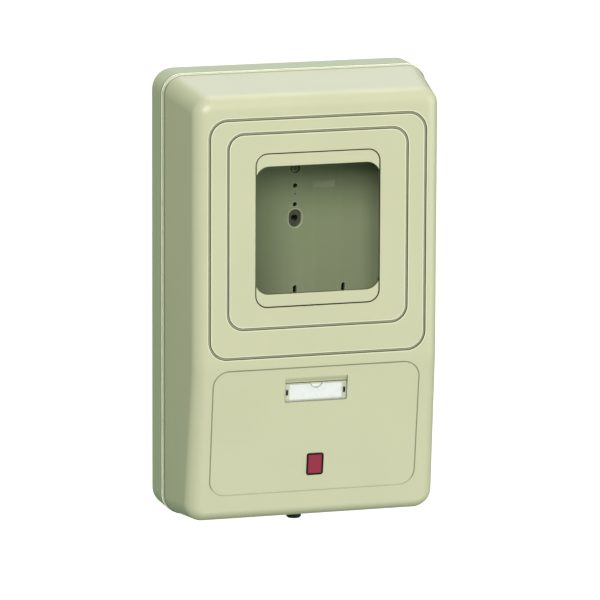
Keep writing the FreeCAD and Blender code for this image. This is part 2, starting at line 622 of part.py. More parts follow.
def make_meter_plate():
    """Moulded plate that the meter is screwed to."""
    z_low, z_high = PLATE_Z
    flange_d, flange_t = PLATE_FLANGE
    board = slab(PLATE_HALF_W, z_low, z_high, PLATE_CORNER_R, PLATE_FIX_Y, PLATE_BACK_Y)
    seat = slab(SEAT_HALF_W, SEAT_Z[0], SEAT_Z[1], PLATE_CORNER_R, PLATE_Y, PLATE_BACK_Y)
    edge = ring_slab(PLATE_HALF_W, z_low, z_high, PLATE_CORNER_R, flange_t,
                     PLATE_BACK_Y, PLATE_BACK_Y + flange_d)
    plate = fuse([board, seat, edge] + nut_channels())
    half_w, top, r = PLATE_RELIEF
    relief = slab(half_w, z_low - BIG, top, r, PLATE_Y - 1.0, PLATE_BACK_Y + flange_d + 1.0)
    plate = plate.cut(relief)
    y0 = PLATE_Y - 1.0
    y1 = PLATE_BACK_Y + 1.0
    for sx in (-1.0, 1.0):
        for z in PLATE_FIX_Z:
            plate = plate.cut(rod_y(M4_R + HOLE_CLEARANCE, sx * PLATE_FIX_X, z, y0, y1))
    for z in SPARE_HOLES_Z:
        plate = plate.cut(rod_y(SPARE_HOLE_R, 0, z, y0, y1))
    for z in RIVETS_Z:
        plate = plate.cut(rod_y(RIVET_R, 0, z, y0, y1))
    plate = plate.cut(rod_y(HANGER_HEAD_R + HOLE_CLEARANCE, 0, HANGER_Z, y0, PLATE_Y + HANGER_HEAD_T))
    plate = plate.cut(rod_y(M4_R + HOLE_CLEARANCE, 0, HANGER_Z, y0, y1))
    plate = plate.cut(vertical_slot(0, OVAL_Z - OVAL_HALF_H, OVAL_Z + OVAL_HALF_H, OVAL_HALF_W, y0, y1))
    for x in slot_places():
        plate = plate.cut(vertical_slot(x, SLOT_Z[0] + 4.0, SLOT_Z[1], SLOT_HALF_W, y0, y1))
    return plate


def make_hanger_strip():
    """Steel strip behind the plate with tapped holes for the meter's top screw."""
    strip = slab(STRIP_HALF_W, STRIP_Z[0], STRIP_Z[1], STRIP_CORNER_R, PLATE_BACK_Y, PLATE_BACK_Y + STRIP_T)
    y0 = PLATE_BACK_Y - 1.0
    y1 = PLATE_BACK_Y + STRIP_T + 1.0
    for z in (HANGER_Z,) + SPARE_HOLES_Z:
        strip = strip.cut(rod_y(M4_R + THREAD_FIT, 0, z, y0, y1))
    for z in RIVETS_Z:
        strip = strip.cut(rod_y(RIVET_R, 0, z, y0, y1))
    return strip.cut(rod_y(STRIP_EYE_R, 0, OVAL_Z, y0, y1))


def make_strip_rivets():
    """Rivets that hold the strip to the plate, one solid each."""
    rivets = []
    for z in RIVETS_Z:
        shank = rod_y(RIVET_R, 0, z, PLATE_Y, PLATE_BACK_Y + STRIP_T)
        head = rod_y(RIVET_HEAD[0], 0, z, PLATE_BACK_Y + STRIP_T, PLATE_BACK_Y + STRIP_T + RIVET_HEAD[1])
        rivets.append(fuse([shank, head]))
    return Part.makeCompound(rivets)


def screw_m4(x, z, y_seat, length, head_r, head_t):
    """Round-head screw along Y with its head towards the front."""
    head = rod_y(head_r, x, z, y_seat - head_t, y_seat)
    edge = min(head.Edges, key=lambda e: e.CenterOfMass.y)
    head = head.makeChamfer(head_t * 0.35, [edge])
    shank = rod_y(M4_R, x, z, y_seat, y_seat + length)
    return fuse([head, shank])


def make_plate_screws():
    """Four screws that hold the plate to the posts."""
    screws = [screw_m4(sx * PLATE_FIX_X, z, PLATE_FIX_Y, M4_LENGTH, M4_HEAD[0], M4_HEAD[1])
              for sx in (-1.0, 1.0) for z in PLATE_FIX_Z]
    return Part.makeCompound(screws)


def make_plate_inserts():
    """Brass inserts in the posts."""
    x = PLATE_FIX_X
    inserts = []
    for sx in (-1.0, 1.0):
        for z in PLATE_FIX_Z:
            body = rod_y(INSERT_R, sx * x, z, PLATE_BACK_Y, PLATE_BACK_Y + INSERT_L)
            bore = rod_y(M4_R + THREAD_FIT, sx * x, z, PLATE_BACK_Y - 1.0, PLATE_BACK_Y + INSERT_L + 1.0)
            inserts.append(body.cut(bore))
    return Part.makeCompound(inserts)


def make_hanger_screw():
    """Screw at the top of the strip, its head flush in the plate."""
    return screw_m4(0, HANGER_Z, PLATE_Y + HANGER_HEAD_T, M4_LENGTH * 0.6, HANGER_HEAD_R, HANGER_HEAD_T)


def make_slot_nut(x):
    """Square nut behind one slot."""
    h = SLOT_NUT_HALF
    y0 = PLATE_BACK_Y + SLOT_NUT_SEAT
    nut = box(x - h, x + h, y0, y0 + SLOT_NUT_T, SLOT_NUT_Z - h, SLOT_NUT_Z + h)
    return nut.cut(rod_y(M4_R, x, SLOT_NUT_Z, y0 - 1.0, y0 + SLOT_NUT_T + 1.0))


def make_wall_washers():
    """Sealing washers on the wall-fixing bosses."""
    washers = []
    y = -BASE_WALL - WALL_BOSS[1]
    for sx in (-1.0, 1.0):
        for z in WALL_Z:
            disc = rod_y(WALL_WASHER[0], sx * WALL_HALF_PITCH, z, y - WALL_WASHER[1], y)
            hole = rod_y(WALL_HOLE_R, sx * WALL_HALF_PITCH, z, y - WALL_WASHER[1] - 1.0, y + 1.0)
            washers.append(disc.cut(hole))
    return Part.makeCompound(washers)


def make_cable_bushings():
    """Rubber bushings in the bottom wall, each closed by a thin web."""
    bushes = []
    for sx in (-1.0, 1.0):
        x = sx * ENTRY_X
        y = -ENTRY_Y
        z0 = BOX_BOTTOM
        z1 = BOX_BOTTOM + BASE_WALL
        outer = rod_z(ENTRY_R + BUSH_LIP, x, y, z0 - BUSH_T, z0)
        inner = rod_z(ENTRY_R + BUSH_LIP, x, y, z1, z1 + BUSH_T)
        neck = rod_z(ENTRY_R, x, y, z0, z1)
        whole = fuse([outer, inner, neck])
        hollow = rod_z(ENTRY_R - BUSH_WALL, x, y, z0 - BUSH_T - 1.0, z1 + BUSH_T + 1.0)
        web = rod_z(ENTRY_R - BUSH_WALL, x, y, z0, z0 + BUSH_WEB)
        bushes.append(fuse([whole.cut(hollow), web]))
    return Part.makeCompound(bushes)


def make_cover_screw():
    """Steel screw with a groove for its retaining ring."""
    top = TONGUE_TOP + M5_REACH
    shank = rod_z(M5_R, 0, -SCREW_Y, COVER_BOTTOM - WASHER_T - KNOB_SOCKET, top)
    z0 = TONGUE_TOP + RING_SEAT
    band = rod_z(M5_R + 1.0, 0, -SCREW_Y, z0, z0 + RING[1])
    band = band.cut(rod_z(RING_GROOVE_R, 0, -SCREW_Y, z0, z0 + RING[1]))
    tip = max(shank.Edges, key=lambda e: e.CenterOfMass.z)
    return shank.makeChamfer(M5_R * 0.3, [tip]).cut(band)


def make_cover_knob():
    """Fluted knob moulded on the screw."""
    z1 = COVER_BOTTOM - WASHER_T
    z0 = z1 - KNOB_H
    body = rod_z(KNOB_R, 0, -SCREW_Y, z0, z1)
    edge = min(body.Edges, key=lambda e: e.CenterOfMass.z)
    body = body.makeChamfer(KNOB_DOME, [edge])
    for i in range(KNOB_FLUTES):
        a = 2.0 * math.pi * (i + 0.5) / KNOB_FLUTES
        x = (KNOB_R + KNOB_FLUTE_R * 0.45) * math.cos(a)
        y = -SCREW_Y + (KNOB_R + KNOB_FLUTE_R * 0.45) * math.sin(a)
        body = body.cut(rod_z(KNOB_FLUTE_R, x, y, z0 - 1.0, z1 - 1.5))
    return body.cut(rod_z(M5_R, 0, -SCREW_Y, z1 - KNOB_SOCKET, z1 + 1.0))


def make_knob_washer():
    """Washer between the knob and the cover."""
    disc = rod_z(WASHER_R, 0, -SCREW_Y, COVER_BOTTOM - WASHER_T, COVER_BOTTOM)
    low = COVER_BOTTOM - WASHER_T - 1.0
    return disc.cut(rod_z(M5_R + HOLE_CLEARANCE, 0, -SCREW_Y, low, COVER_BOTTOM + 1.0))


def make_screw_ring():
    """Open retaining ring that keeps the screw in the cover."""
    z0 = TONGUE_TOP + RING_SEAT
    z1 = z0 + RING[1]
    ring = rod_z(RING[0], 0, -SCREW_Y, z0, z1).cut(rod_z(RING_GROOVE_R + THREAD_FIT, 0, -SCREW_Y, z0, z1))
    mouth = box(-RING_OPEN / 2.0, RING_OPEN / 2.0, -SCREW_Y, -SCREW_Y - RING[0] - 1.0, z0 - 1.0, z1 + 1.0)
    return ring.cut(mouth)


def make_cover_nut():
    """Long nut that clamps the tab of the base."""
    block = box(-NUT_HALF_W, NUT_HALF_W, -NUT_Y[0], -NUT_Y[1], NUT_Z, NUT_Z + M5_NUT_T)
    corner = [e for e in block.Edges if abs(e.tangentAt(0).z) > 0.9]
    block = block.makeFillet(1.5, corner)
    return block.cut(rod_z(M5_R + THREAD_FIT, 0, -SCREW_Y, NUT_Z - 1.0, NUT_Z + M5_NUT_T + 1.0))


def make_name_card():
    """White card on the floor of the pocket."""
    mid = (POCKET_S[0] + POCKET_S[1]) / 2.0
    return on_panel(CARD_HALF_W, mid - CARD_H / 2.0, mid + CARD_H / 2.0, 0.8, POCKET_D - CARD_T, POCKET_D)


def make_card_lid():
    """Clear lid over the card with edge walls, thumb notch, ear reliefs and hinge pins."""
    g = LID_GAP
    half_w = POCKET_HALF_W - g
    s0 = POCKET_S[0] + g
    s1 = POCKET_S[1] - g
    t = LID_SKIRT
    low = POCKET_D - LID_FLOOR_GAP
    plate = on_panel(half_w, s0, s1, POCKET_CORNER_R, LID_SINK, low)
    room = on_panel(half_w - t, s0 + t, s1 - t, POCKET_CORNER_R / 2.0, LID_SINK + LID_T, low + 1.0)
    lid = plate.cut(room).cut(ear_reliefs(POCKET_D))
    notch = rod_y(LID_NOTCH_R, 0, BREAK_Z - s0 + LID_NOTCH_RISE, FRONT_Y - 1.0, FRONT_Y + POCKET_D + 1.0)
    lid = lid.cut(lean(notch))
    return fuse([lid] + list(pin_rods(LID_PIN_R, LID_PIN_REACH).Solids))


def make_badge():
    """Small blank plate near the bottom of the panel."""
    return on_panel(BADGE_HALF_W, BADGE_S - BADGE_H / 2.0, BADGE_S + BADGE_H / 2.0, BADGE_CORNER_R,
                    BADGE_SINK - BADGE_T, BADGE_SINK, BADGE_X)


def main():
    """Builds every piece and writes one file for each."""
    os.makedirs("parts", exist_ok=True)
    pieces = {
        "rear_base": make_base(),
        "front_cover": make_cover(),
        "window_adapter": make_window_adapter(),
        "meter_plate": make_meter_plate(),
        "plate_screws": make_plate_screws(),
        "plate_inserts": make_plate_inserts(),
        "hanger_strip": make_hanger_strip(),
        "hanger_screw": make_hanger_screw(),
        "strip_rivets": make_strip_rivets(),
        "wall_washers": make_wall_washers(),
        "cable_bushings": make_cable_bushings(),
        "cover_screw": make_cover_screw(),
        "cover_knob": make_cover_knob(),
        "knob_washer": make_knob_washer(),
        "screw_ring": make_screw_ring(),
        "cover_nut": make_cover_nut(),
        "name_card": make_name_card(),
        "card_lid": make_card_lid(),
        "badge_plate": make_badge(),
    }
    for name, x in zip(("left", "middle", "right"), slot_places()):
        pieces["slot_nut_" + name] = make_slot_nut(x)
    for name, shape in pieces.items():
        print(name, len(shape.Solids), round(shape.Volume / 1000.0, 2), shape.isValid())
        shape.exportStep("parts/" + name + ".step")


main()
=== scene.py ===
"""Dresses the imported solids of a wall-mounted electric meter box and lights them like the photograph."""
import logging
import math
from dataclasses import dataclass, field
from enum import Enum
from typing import Callable, Optional, Union

import bpy
from mathutils import Matrix, Vector


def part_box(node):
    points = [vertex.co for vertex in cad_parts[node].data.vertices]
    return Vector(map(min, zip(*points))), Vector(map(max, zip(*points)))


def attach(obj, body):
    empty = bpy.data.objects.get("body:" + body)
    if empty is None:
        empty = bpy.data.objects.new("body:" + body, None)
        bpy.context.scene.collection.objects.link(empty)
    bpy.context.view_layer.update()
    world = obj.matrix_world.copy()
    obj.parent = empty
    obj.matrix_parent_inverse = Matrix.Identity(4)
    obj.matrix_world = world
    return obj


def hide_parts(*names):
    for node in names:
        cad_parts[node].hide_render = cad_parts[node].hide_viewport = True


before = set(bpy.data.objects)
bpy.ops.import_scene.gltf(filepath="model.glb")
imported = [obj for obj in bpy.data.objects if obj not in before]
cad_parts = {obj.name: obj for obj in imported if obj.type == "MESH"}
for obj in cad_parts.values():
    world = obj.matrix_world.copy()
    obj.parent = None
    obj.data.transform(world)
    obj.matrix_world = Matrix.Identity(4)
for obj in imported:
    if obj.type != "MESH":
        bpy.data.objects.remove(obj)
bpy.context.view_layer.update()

log = logging.getLogger("meter_box")

MM = 0.001
LINE_SOFT = 0.1 * MM
FACING = 0.9
EDGE_STEPS = 2
Colour = tuple[float, float, float]
Point = tuple[float, float, float]
Step = tuple[float, float]
Span = tuple[float, float, float]


class Slot(Enum):
    """Material slots of the record."""

    BASE = "base_resin"
    COVER = "cover_resin"
    ADAPTER = "adapter_resin"
    PLATE = "plate_resin"
    STEEL = "zinc_steel"
    BRASS = "brass"
    RUBBER = "rubber"
    KNOB = "black_resin"
    CLEAR = "clear_resin"
    CARD = "card"
    BADGE = "badge"


class Body(Enum):
    """Bodies that pieces ride on."""

    BASE = "base"
    COVER = "cover"
    LID = "lid"
    SCREW = "screw"
    NUT = "nut"
    LEFT_NUT = "left_slot_nut"
    MIDDLE_NUT = "middle_slot_nut"
    RIGHT_NUT = "right_slot_nut"


class Value:
    """One output socket of a material; arithmetic on it adds Math nodes."""

    def __init__(self, graph: "Graph", socket: bpy.types.NodeSocket) -> None:
        """Wraps a socket of the graph."""
        self.graph = graph
        self.socket = socket

    def __add__(self, other: "Term") -> "Value":
        """self + other."""
        return self.graph.math("ADD", self, other)

    def __sub__(self, other: "Term") -> "Value":
        """self - other."""
        return self.graph.math("SUBTRACT", self, other)

    def __rsub__(self, other: float) -> "Value":
        """other - self."""
        return self.graph.math("SUBTRACT", other, self)

    def __mul__(self, other: "Term") -> "Value":
        """self * other."""
        return self.graph.math("MULTIPLY", self, other)

    def __abs__(self) -> "Value":
        """Size of self without its sign."""
        return self.graph.math("ABSOLUTE", self)

    __radd__ = __add__
    __rmul__ = __mul__

    def largest(self, other: "Term") -> "Value":
        """The greater of self and other."""
        return self.graph.math("MAXIMUM", self, other)

    def ease(self, low: float, high: float) -> "Value":
        """Soft step from 0 at low to 1 at high."""
        return self.graph.node(
            "ShaderNodeMapRange", {"interpolation_type": "SMOOTHSTEP"},
            {0: self, 1: low, 2: high, 3: 0.0, 4: 1.0})

    def between(self, low: float, high: float, soft: float) -> "Value":
        """1 between low and high, with soft ends of width soft."""
        return self.ease(low, low + soft) * (1.0 - self.ease(high - soft, high))

    def swing(self, width: float) -> "Value":
        """A noise's swing about its middle, times width."""
        return (self - 0.5) * width


Term = Union[Value, float]
Mask = Callable[["Graph"], Value]


class Graph:
    """One material and the nodes that are added to it."""

    def __init__(self, name: str) -> None:
        """Starts an empty material.

        Args:
            name: the material's name.
        """
        self.material = bpy.data.materials.new(name)
        self.material.use_nodes = True
        self.tree = self.material.node_tree
        self.tree.nodes.clear()

    def node(self, kind: str, settings: Optional[dict] = None, inputs: Optional[dict] = None,
             output: Union[int, str] = 0) -> Value:
        """Adds a node.

        Args:
            kind: the node's type.
            settings: its properties, set first.
            inputs: values or links by socket name or number.
            output: which output is wanted.

        Returns:
            The wanted output.
        """
        made = self.tree.nodes.new(kind)
        for key, setting in (settings or {}).items():
            setattr(made, key, setting)
        for key, value in (inputs or {}).items():
            if isinstance(value, Value):
                self.tree.links.new(value.socket, made.inputs[key])
            elif made.inputs[key].type == "RGBA":
                made.inputs[key].default_value = (*value, 1.0)
            else:
                made.inputs[key].default_value = value
        return Value(self, made.outputs[output])

    def math(self, operation: str, *terms: Term) -> Value:
        """Adds one Math node."""
        return self.node("ShaderNodeMath", {"operation": operation}, dict(enumerate(terms)))

    def length(self, across: Value, up: Value) -> Value:
        """Length of a line with these two sides."""
        return self.math("SQRT", across * across + up * up)

    def place(self) -> Value:
        """Object coordinates, in metres in the frame of the whole box."""
        return self.node("ShaderNodeTexCoord", output="Object")

    def along(self, axis: int) -> Value:
        """One of the object coordinates."""
        return self.node("ShaderNodeSeparateXYZ", inputs={0: self.place()}, output=axis)

    def axes(self) -> tuple[Value, ...]:
        """All three object coordinates."""
        return tuple(self.along(axis) for axis in range(3))

    def noise(self, size: float, detail: float = 3.0, stretch: Point = (1.0, 1.0, 1.0)) -> Value:
        """Soft noise between 0 and 1.

        Args:
            size: size of its patches in metres.
            detail: how many finer layers it has.
            stretch: factors on the three coordinates.

        Returns:
            The noise.
        """
        where = self.node("ShaderNodeMapping", {}, {"Vector": self.place(), "Scale": stretch})
        return self.node("ShaderNodeTexNoise", {}, {"Vector": where, "Scale": 1.0 / size, "Detail": detail})

    def mix(self, share: Term, first: Union[Value, Colour], second: Union[Value, Colour]) -> Value:
        """Blend of two colours, the second where share is 1."""
        return self.node("ShaderNodeMix", {"data_type": "RGBA"}, {0: share, 6: first, 7: second}, output=2)

    def bump(self, height: Value, depth: float) -> Value:
        """Normal of a surface that a height between 0 and 1 lifts by depth metres."""
        return self.node("ShaderNodeBump", {}, {"Height": height, "Distance": depth, "Strength": 1.0})

    def surface(self, **sockets: Union[Value, float, Colour]) -> bpy.types.Material:
        """Closes the material with a Principled shader.

        Args:
            sockets: the shader's inputs by name, with _ for a space.

        Returns:
            The finished material.
        """
        shader = self.node("ShaderNodeBsdfPrincipled", {}, {k.replace("_", " "): v for k, v in sockets.items()})
        end = self.tree.nodes.new("ShaderNodeOutputMaterial")
        self.tree.links.new(shader.socket, end.inputs["Surface"])
        return self.material


@dataclass(frozen=True)
class Outline:
    """Rounded rectangle on a face of the box, its middle on x = 0."""

    half_w: float
    low: float
    high: float
    corner: float

    def distance(self, x: Value, z: Value) -> Value:
        """Distance outside the outline, less than 0 inside it.

        Args:
            x: place across the face.
            z: place up the face.

        Returns:
            The distance, true near the outline.
        """
        middle = (self.low + self.high) / 2
        across = (abs(x) - (self.half_w - self.corner)).largest(0.0)
        up = (abs(z - middle) - (self.high - middle - self.corner)).largest(0.0)
        return x.graph.length(across, up) - self.corner

    def near(self, x: Value, z: Value, reach: float) -> Value:
        """1 within reach of the outline."""
        return 1.0 - abs(self.distance(x, z)).ease(reach - LINE_SOFT, reach + LINE_SOFT)


@dataclass(frozen=True)
class LeaningFace:
    """The cover's lower front, which leans back under the soft break."""

    face_y: float
    break_z: float = -135.0 * MM
    lean: float = math.radians(7.5)

    def sunk(self, y: Value, z: Value) -> Value:
        """Depth behind the leaning face."""
        return (y - self.face_y) * math.cos(self.lean) + (z - self.break_z) * math.sin(self.lean)

    def down(self, y: Value, z: Value) -> Value:
        """Place along the leaning face, which is z at the break."""
        along = (z - self.break_z) * math.cos(self.lean) - (y - self.face_y) * math.sin(self.lean)
        return along + self.break_z


@dataclass(frozen=True)
class CoverPaintedLight(LeaningFace):
    """Painted light on the cover's skin: painted shade, with duller gloss, in its grooves, gaps and recesses, and
    painted highlight on its rim band and the lips of its grooves.
    """

    window: Outline = Outline(0.0635, -0.0767, 0.0767, 0.0125)
    window_reach: float = 0.7 * MM
    window_depth: Step = (0.2 * MM, 0.4 * MM)
    grooves: tuple[Outline, ...] = (Outline(0.091, -0.097, 0.0966, 0.016),
                                    Outline(0.1096, -0.1257, 0.1107, 0.018))
    groove_reach: float = 1.45 * MM
    groove_depth: Span = (0.1 * MM, 1.7 * MM, 0.2 * MM)
    groove_wall: Step = (0.6 * MM, 0.85 * MM)
    groove_floor_share: float = 0.48
    groove_wall_share: float = 0.5
    lip_reach: float = 2.3 * MM
    lip_depth: Step = (0.05 * MM, 0.2 * MM)
    lip_share: float = 0.4
    panel: Outline = Outline(0.1053, -0.2676, -0.1383, 0.016)
    panel_reach: float = 0.65 * MM
    panel_depth: Span = (0.1 * MM, 0.9 * MM, 0.15 * MM)
    panel_share: float = 0.55
    panel_foot: Step = (3 * MM, 9 * MM)
    panel_foot_loss: float = 0.4
    pocket: Outline = Outline(0.0319, -0.174, -0.1546, 0.0015)
    pocket_reach: float = 0.45 * MM
    ramp: Outline = Outline(0.0319, -0.174, -0.1471, 0.0015)
    ramp_reach: float = 0.4 * MM
    ramp_wall_share: float = 0.8
    wall_depth: Span = (0.3 * MM, 3.5 * MM, 0.3 * MM)
    ramp_depth: Span = (0.2 * MM, 2.5 * MM, 1.0 * MM)
    ramp_share: float = 0.32
    ear_depth: Step = (2.5 * MM, 2.8 * MM)
    rim_y: float = -37.5 * MM
    rim_ahead: Step = (0.3 * MM, 0.1 * MM)
    rim_share: float = 0.8
    step_y: float = -43.5 * MM
    step_reach: Step = (0.3 * MM, 0.7 * MM)
    step_share: float = 0.75
    step_top: Step = (132.0 * MM, 142.0 * MM)
    step_top_loss: float = 0.45
    band_inset: Span = (0.7 * MM, 0.2 * MM, 0.4 * MM)

    def groove(self, ring: Outline, x: Value, z: Value, depth: Value) -> Value:
        """Painted shade in one ring groove, darkest on its walls.

        Args:
            ring: the groove's middle line.
            x: place across the face.
            z: place up the face.
            depth: depth behind the upright face.

        Returns:
            Share of painted shade.
        """
        inside = ring.near(x, z, self.groove_reach) * depth.between(*self.groove_depth)
        wall = abs(ring.distance(x, z)).ease(*self.groove_wall)
        return inside * (wall * self.groove_wall_share + self.groove_floor_share)

    def panel_line(self, x: Value, down: Value, sunk: Value) -> Value:
        """Painted shade in the line round the lower panel, faint at its foot.

        Args:
            x: place across the face.
            down: place along the leaning face.
            sunk: depth behind the leaning face.

        Returns:
            Share of painted shade.
        """
        start, end = self.panel_foot
        foot = 1.0 - down.ease(self.panel.low + start, self.panel.low + end)
        line = self.panel.near(x, down, self.panel_reach) * sunk.between(*self.panel_depth)
        return line * (self.panel_share - foot * self.panel_foot_loss)

    def card_pocket(self, x: Value, down: Value, sunk: Value) -> Value:
        """Painted shade on the walls of the card pocket, on its ramp and in its slots.

        Args:
            x: place across the face.
            down: place along the leaning face.
            sunk: depth behind the leaning face.

        Returns:
            Share of painted shade.
        """
        ramp_wall = self.ramp.near(x, down, self.ramp_reach) * self.ramp_wall_share
        walls = self.pocket.near(x, down, self.pocket_reach).largest(ramp_wall) * sunk.between(*self.wall_depth)
        room = 1.0 - self.ramp.distance(x, down).ease(-2 * LINE_SOFT, 0.0)
        ramp = room * sunk.between(*self.ramp_depth) * self.ramp_share
        return walls.largest(ramp).largest(room * sunk.ease(*self.ear_depth))

    def rim(self, y: Value, z: Value) -> Value:
        """Painted shade in the gap at the rim's edge and on the step of the rim band.

        Args:
            y: place from front to back.
            z: place up the box.

        Returns:
            Share of painted shade.
        """
        start, end = self.rim_ahead
        gap = y.ease(self.rim_y - start, self.rim_y - end) * self.rim_share
        step = 1.0 - abs(y - self.step_y).ease(*self.step_reach)
        return gap.largest(step * (self.step_share - z.ease(*self.step_top) * self.step_top_loss))

    def share(self, g: Graph) -> Value:
        """Share of painted shade.

        Args:
            g: the cover's material.

        Returns:
            A share between 0 and 1.
        """
        x, y, z = g.axes()
        depth = y - self.face_y
        down, sunk = self.down(y, z), self.sunk(y, z)
        # Painted shade round the window opening, in the grooves, the panel line, the card pocket and the rim.
        dark = self.window.near(x, z, self.window_reach) * depth.ease(*self.window_depth)
        for ring in self.grooves:
            dark = dark.largest(self.groove(ring, x, z, depth))
        for place in (self.panel_line(x, down, sunk), self.card_pocket(x, down, sunk), self.rim(y, z)):
            dark = dark.largest(place)
        return dark

    def painted_highlight(self, g: Graph) -> Value:
        """Share of painted highlight: the rim band and the lips of the grooves.

        Args:
            g: the cover's material.

        Returns:
            A share between 0 and 1.
        """
        # Painted highlight on the rim band and on the lips of the grooves.
        x, y, z = g.axes()
        front, back, soft = self.band_inset
        pale = y.between(self.step_y + front, self.rim_y - back, soft)
        face = 1.0 - (y - self.face_y).ease(*self.lip_depth)
        for ring in self.grooves:
            pale = pale.largest(ring.near(x, z, self.lip_reach) * face * self.lip_share)
        return pale


@dataclass(frozen=True)
class SeamPaintedLight:
    """Painted light on the base beside the seam: painted shade under the cover's rim, in a line beside it and
    along the top, and painted highlight on the edge.
    """

    seam_y: float = -37.2 * MM
    rim: Outline = Outline(0.1342, -0.2972, 0.1438, 0.0197)
    beside: Step = (-0.1 * MM, 0.15 * MM)
    line: Span = (0.7 * MM, 3.6 * MM, 0.6 * MM)
    line_share: float = 0.5
    top_band: float = 6 * MM
    top_share: float = 0.16
    under_reach: float = 1.0 * MM
    edge_beside: Step = (0.0, 0.2 * MM)
    edge_reach: Step = (0.5 * MM, 0.9 * MM)

    def share(self, g: Graph) -> Value:
        """Share of painted shade.

        Args:
            g: the base's material.

        Returns:
            A share between 0 and 1.
        """
        x, y, z = g.axes()
        front, back, soft = self.line
        # Painted shade in a line beside the seam, along the top band and under the cover's rim.
        outside = self.rim.distance(x, z).ease(*self.beside)
        line = outside * y.between(self.seam_y + front, self.seam_y + back, soft) * self.line_share
        darker_top = outside * z.ease(self.rim.high - self.top_band, self.rim.high) * self.top_share
        under = (1.0 - outside) * (1.0 - y.ease(self.seam_y, self.seam_y + self.under_reach))
        return line.largest(darker_top).largest(under)

    def painted_highlight(self, g: Graph) -> Value:
        """Share of painted highlight: the edge beside the seam.

        Args:
            g: the base's material.

        Returns:
            A share between 0 and 1.
        """
        x, y, z = g.axes()
        # Painted highlight on the base's edge beside the seam.
        start, end = self.edge_reach
        outside = self.rim.distance(x, z).ease(*self.edge_beside)
        return outside * (1.0 - y.ease(self.seam_y + start, self.seam_y + end))


@dataclass(frozen=True)
class FramePaintedShade:
    """Painted shade on the window frame beside its strips and round its opening."""

    face_y: float
    strips: Outline = Outline(0.0623, -0.0755, 0.0755, 0.0113)
    beside: Step = (-0.15 * MM, 0.05 * MM)
    beside_depth: Step = (0.45 * MM, 0.7 * MM)
    opening: Outline = Outline(0.0635, -0.0635, 0.0635, 0.014)
    opening_reach: float = 0.6 * MM
    opening_depth: Step = (0.4 * MM, 0.7 * MM)
    opening_share: float = 0.85

    def share(self, g: Graph) -> Value:
        """Share of painted shade.

        Args:
            g: the window frame's material.

        Returns:
            A share between 0 and 1.
        """
        x, y, z = g.axes()
        depth = y - self.face_y
        outside = self.strips.distance(x, z).ease(*self.beside) * depth.ease(*self.beside_depth)
        walls = self.opening.near(x, z, self.opening_reach) * depth.ease(*self.opening_depth)
        return outside.largest(walls * self.opening_share)


@dataclass(frozen=True)
class PlatePaintedHighlight:
    """Painted highlight on the meter plate: round its holes, its oval eye and its slots."""

    holes: tuple[tuple[float, float], ...] = ((45.8 * MM, 5.05 * MM), (28.1 * MM, 2.4 * MM), (9.3 * MM, 2.4 * MM))
    hole_share: float = 0.45
    hole_soft: float = 0.3 * MM
    eye: Outline = Outline(0.00665, -0.0136, 0.0046, 0.00665)
    eye_share: float = 0.8
    slot: Outline = Outline(0.0021, -0.104, -0.072, 0.0021)
    slot_share: float = 0.5
    pitch: float = 50.0 * MM
    width: float = 0.45 * MM

    def share(self, g: Graph) -> Value:
        """Share of painted highlight.

        Args:
            g: the plate's material.

        Returns:
            A share between 0 and 1.
        """
        x, z = g.along(0), g.along(2)
        pale = self.eye.near(x, z, 2 * self.width) * self.eye_share
        for up, radius in self.holes:
            away = abs(g.length(x, z - up) - radius)
            pale = pale.largest((1.0 - away.ease(self.width, self.width + self.hole_soft)) * self.hole_share)
        for middle in (-self.pitch, 0.0, self.pitch):
            pale = pale.largest(self.slot.near(x - middle, z, self.width) * self.slot_share)
        return pale


@dataclass(frozen=True)
class LidPaintedShade(LeaningFace):
    """Painted shade on the clear lid along its outline, and painted shadow round its finger notch."""

    sheet: Outline = Outline(0.03155, -0.17365, -0.15495, 0.0012)
    sheet_reach: float = 0.45 * MM
    sheet_share: float = 0.25
    notch_down: float = -153.65 * MM
    notch_r: float = 5.6 * MM
    notch_out: float = 0.35 * MM
    notch_edge: Step = (0.4 * MM, 0.7 * MM)
    notch_share: float = 0.6

    def share(self, g: Graph) -> Value:
        """Share of painted shade.

        Args:
            g: the lid's material.

        Returns:
            A share between 0 and 1.
        """
        x, y, z = g.axes()
        down = self.down(y, z)
        ring = g.length(x, down - self.notch_down) - self.notch_r
        notch = 1.0 - abs(ring - self.notch_out).ease(*self.notch_edge)
        return (self.sheet.near(x, down, self.sheet_reach) * self.sheet_share).largest(notch * self.notch_share)


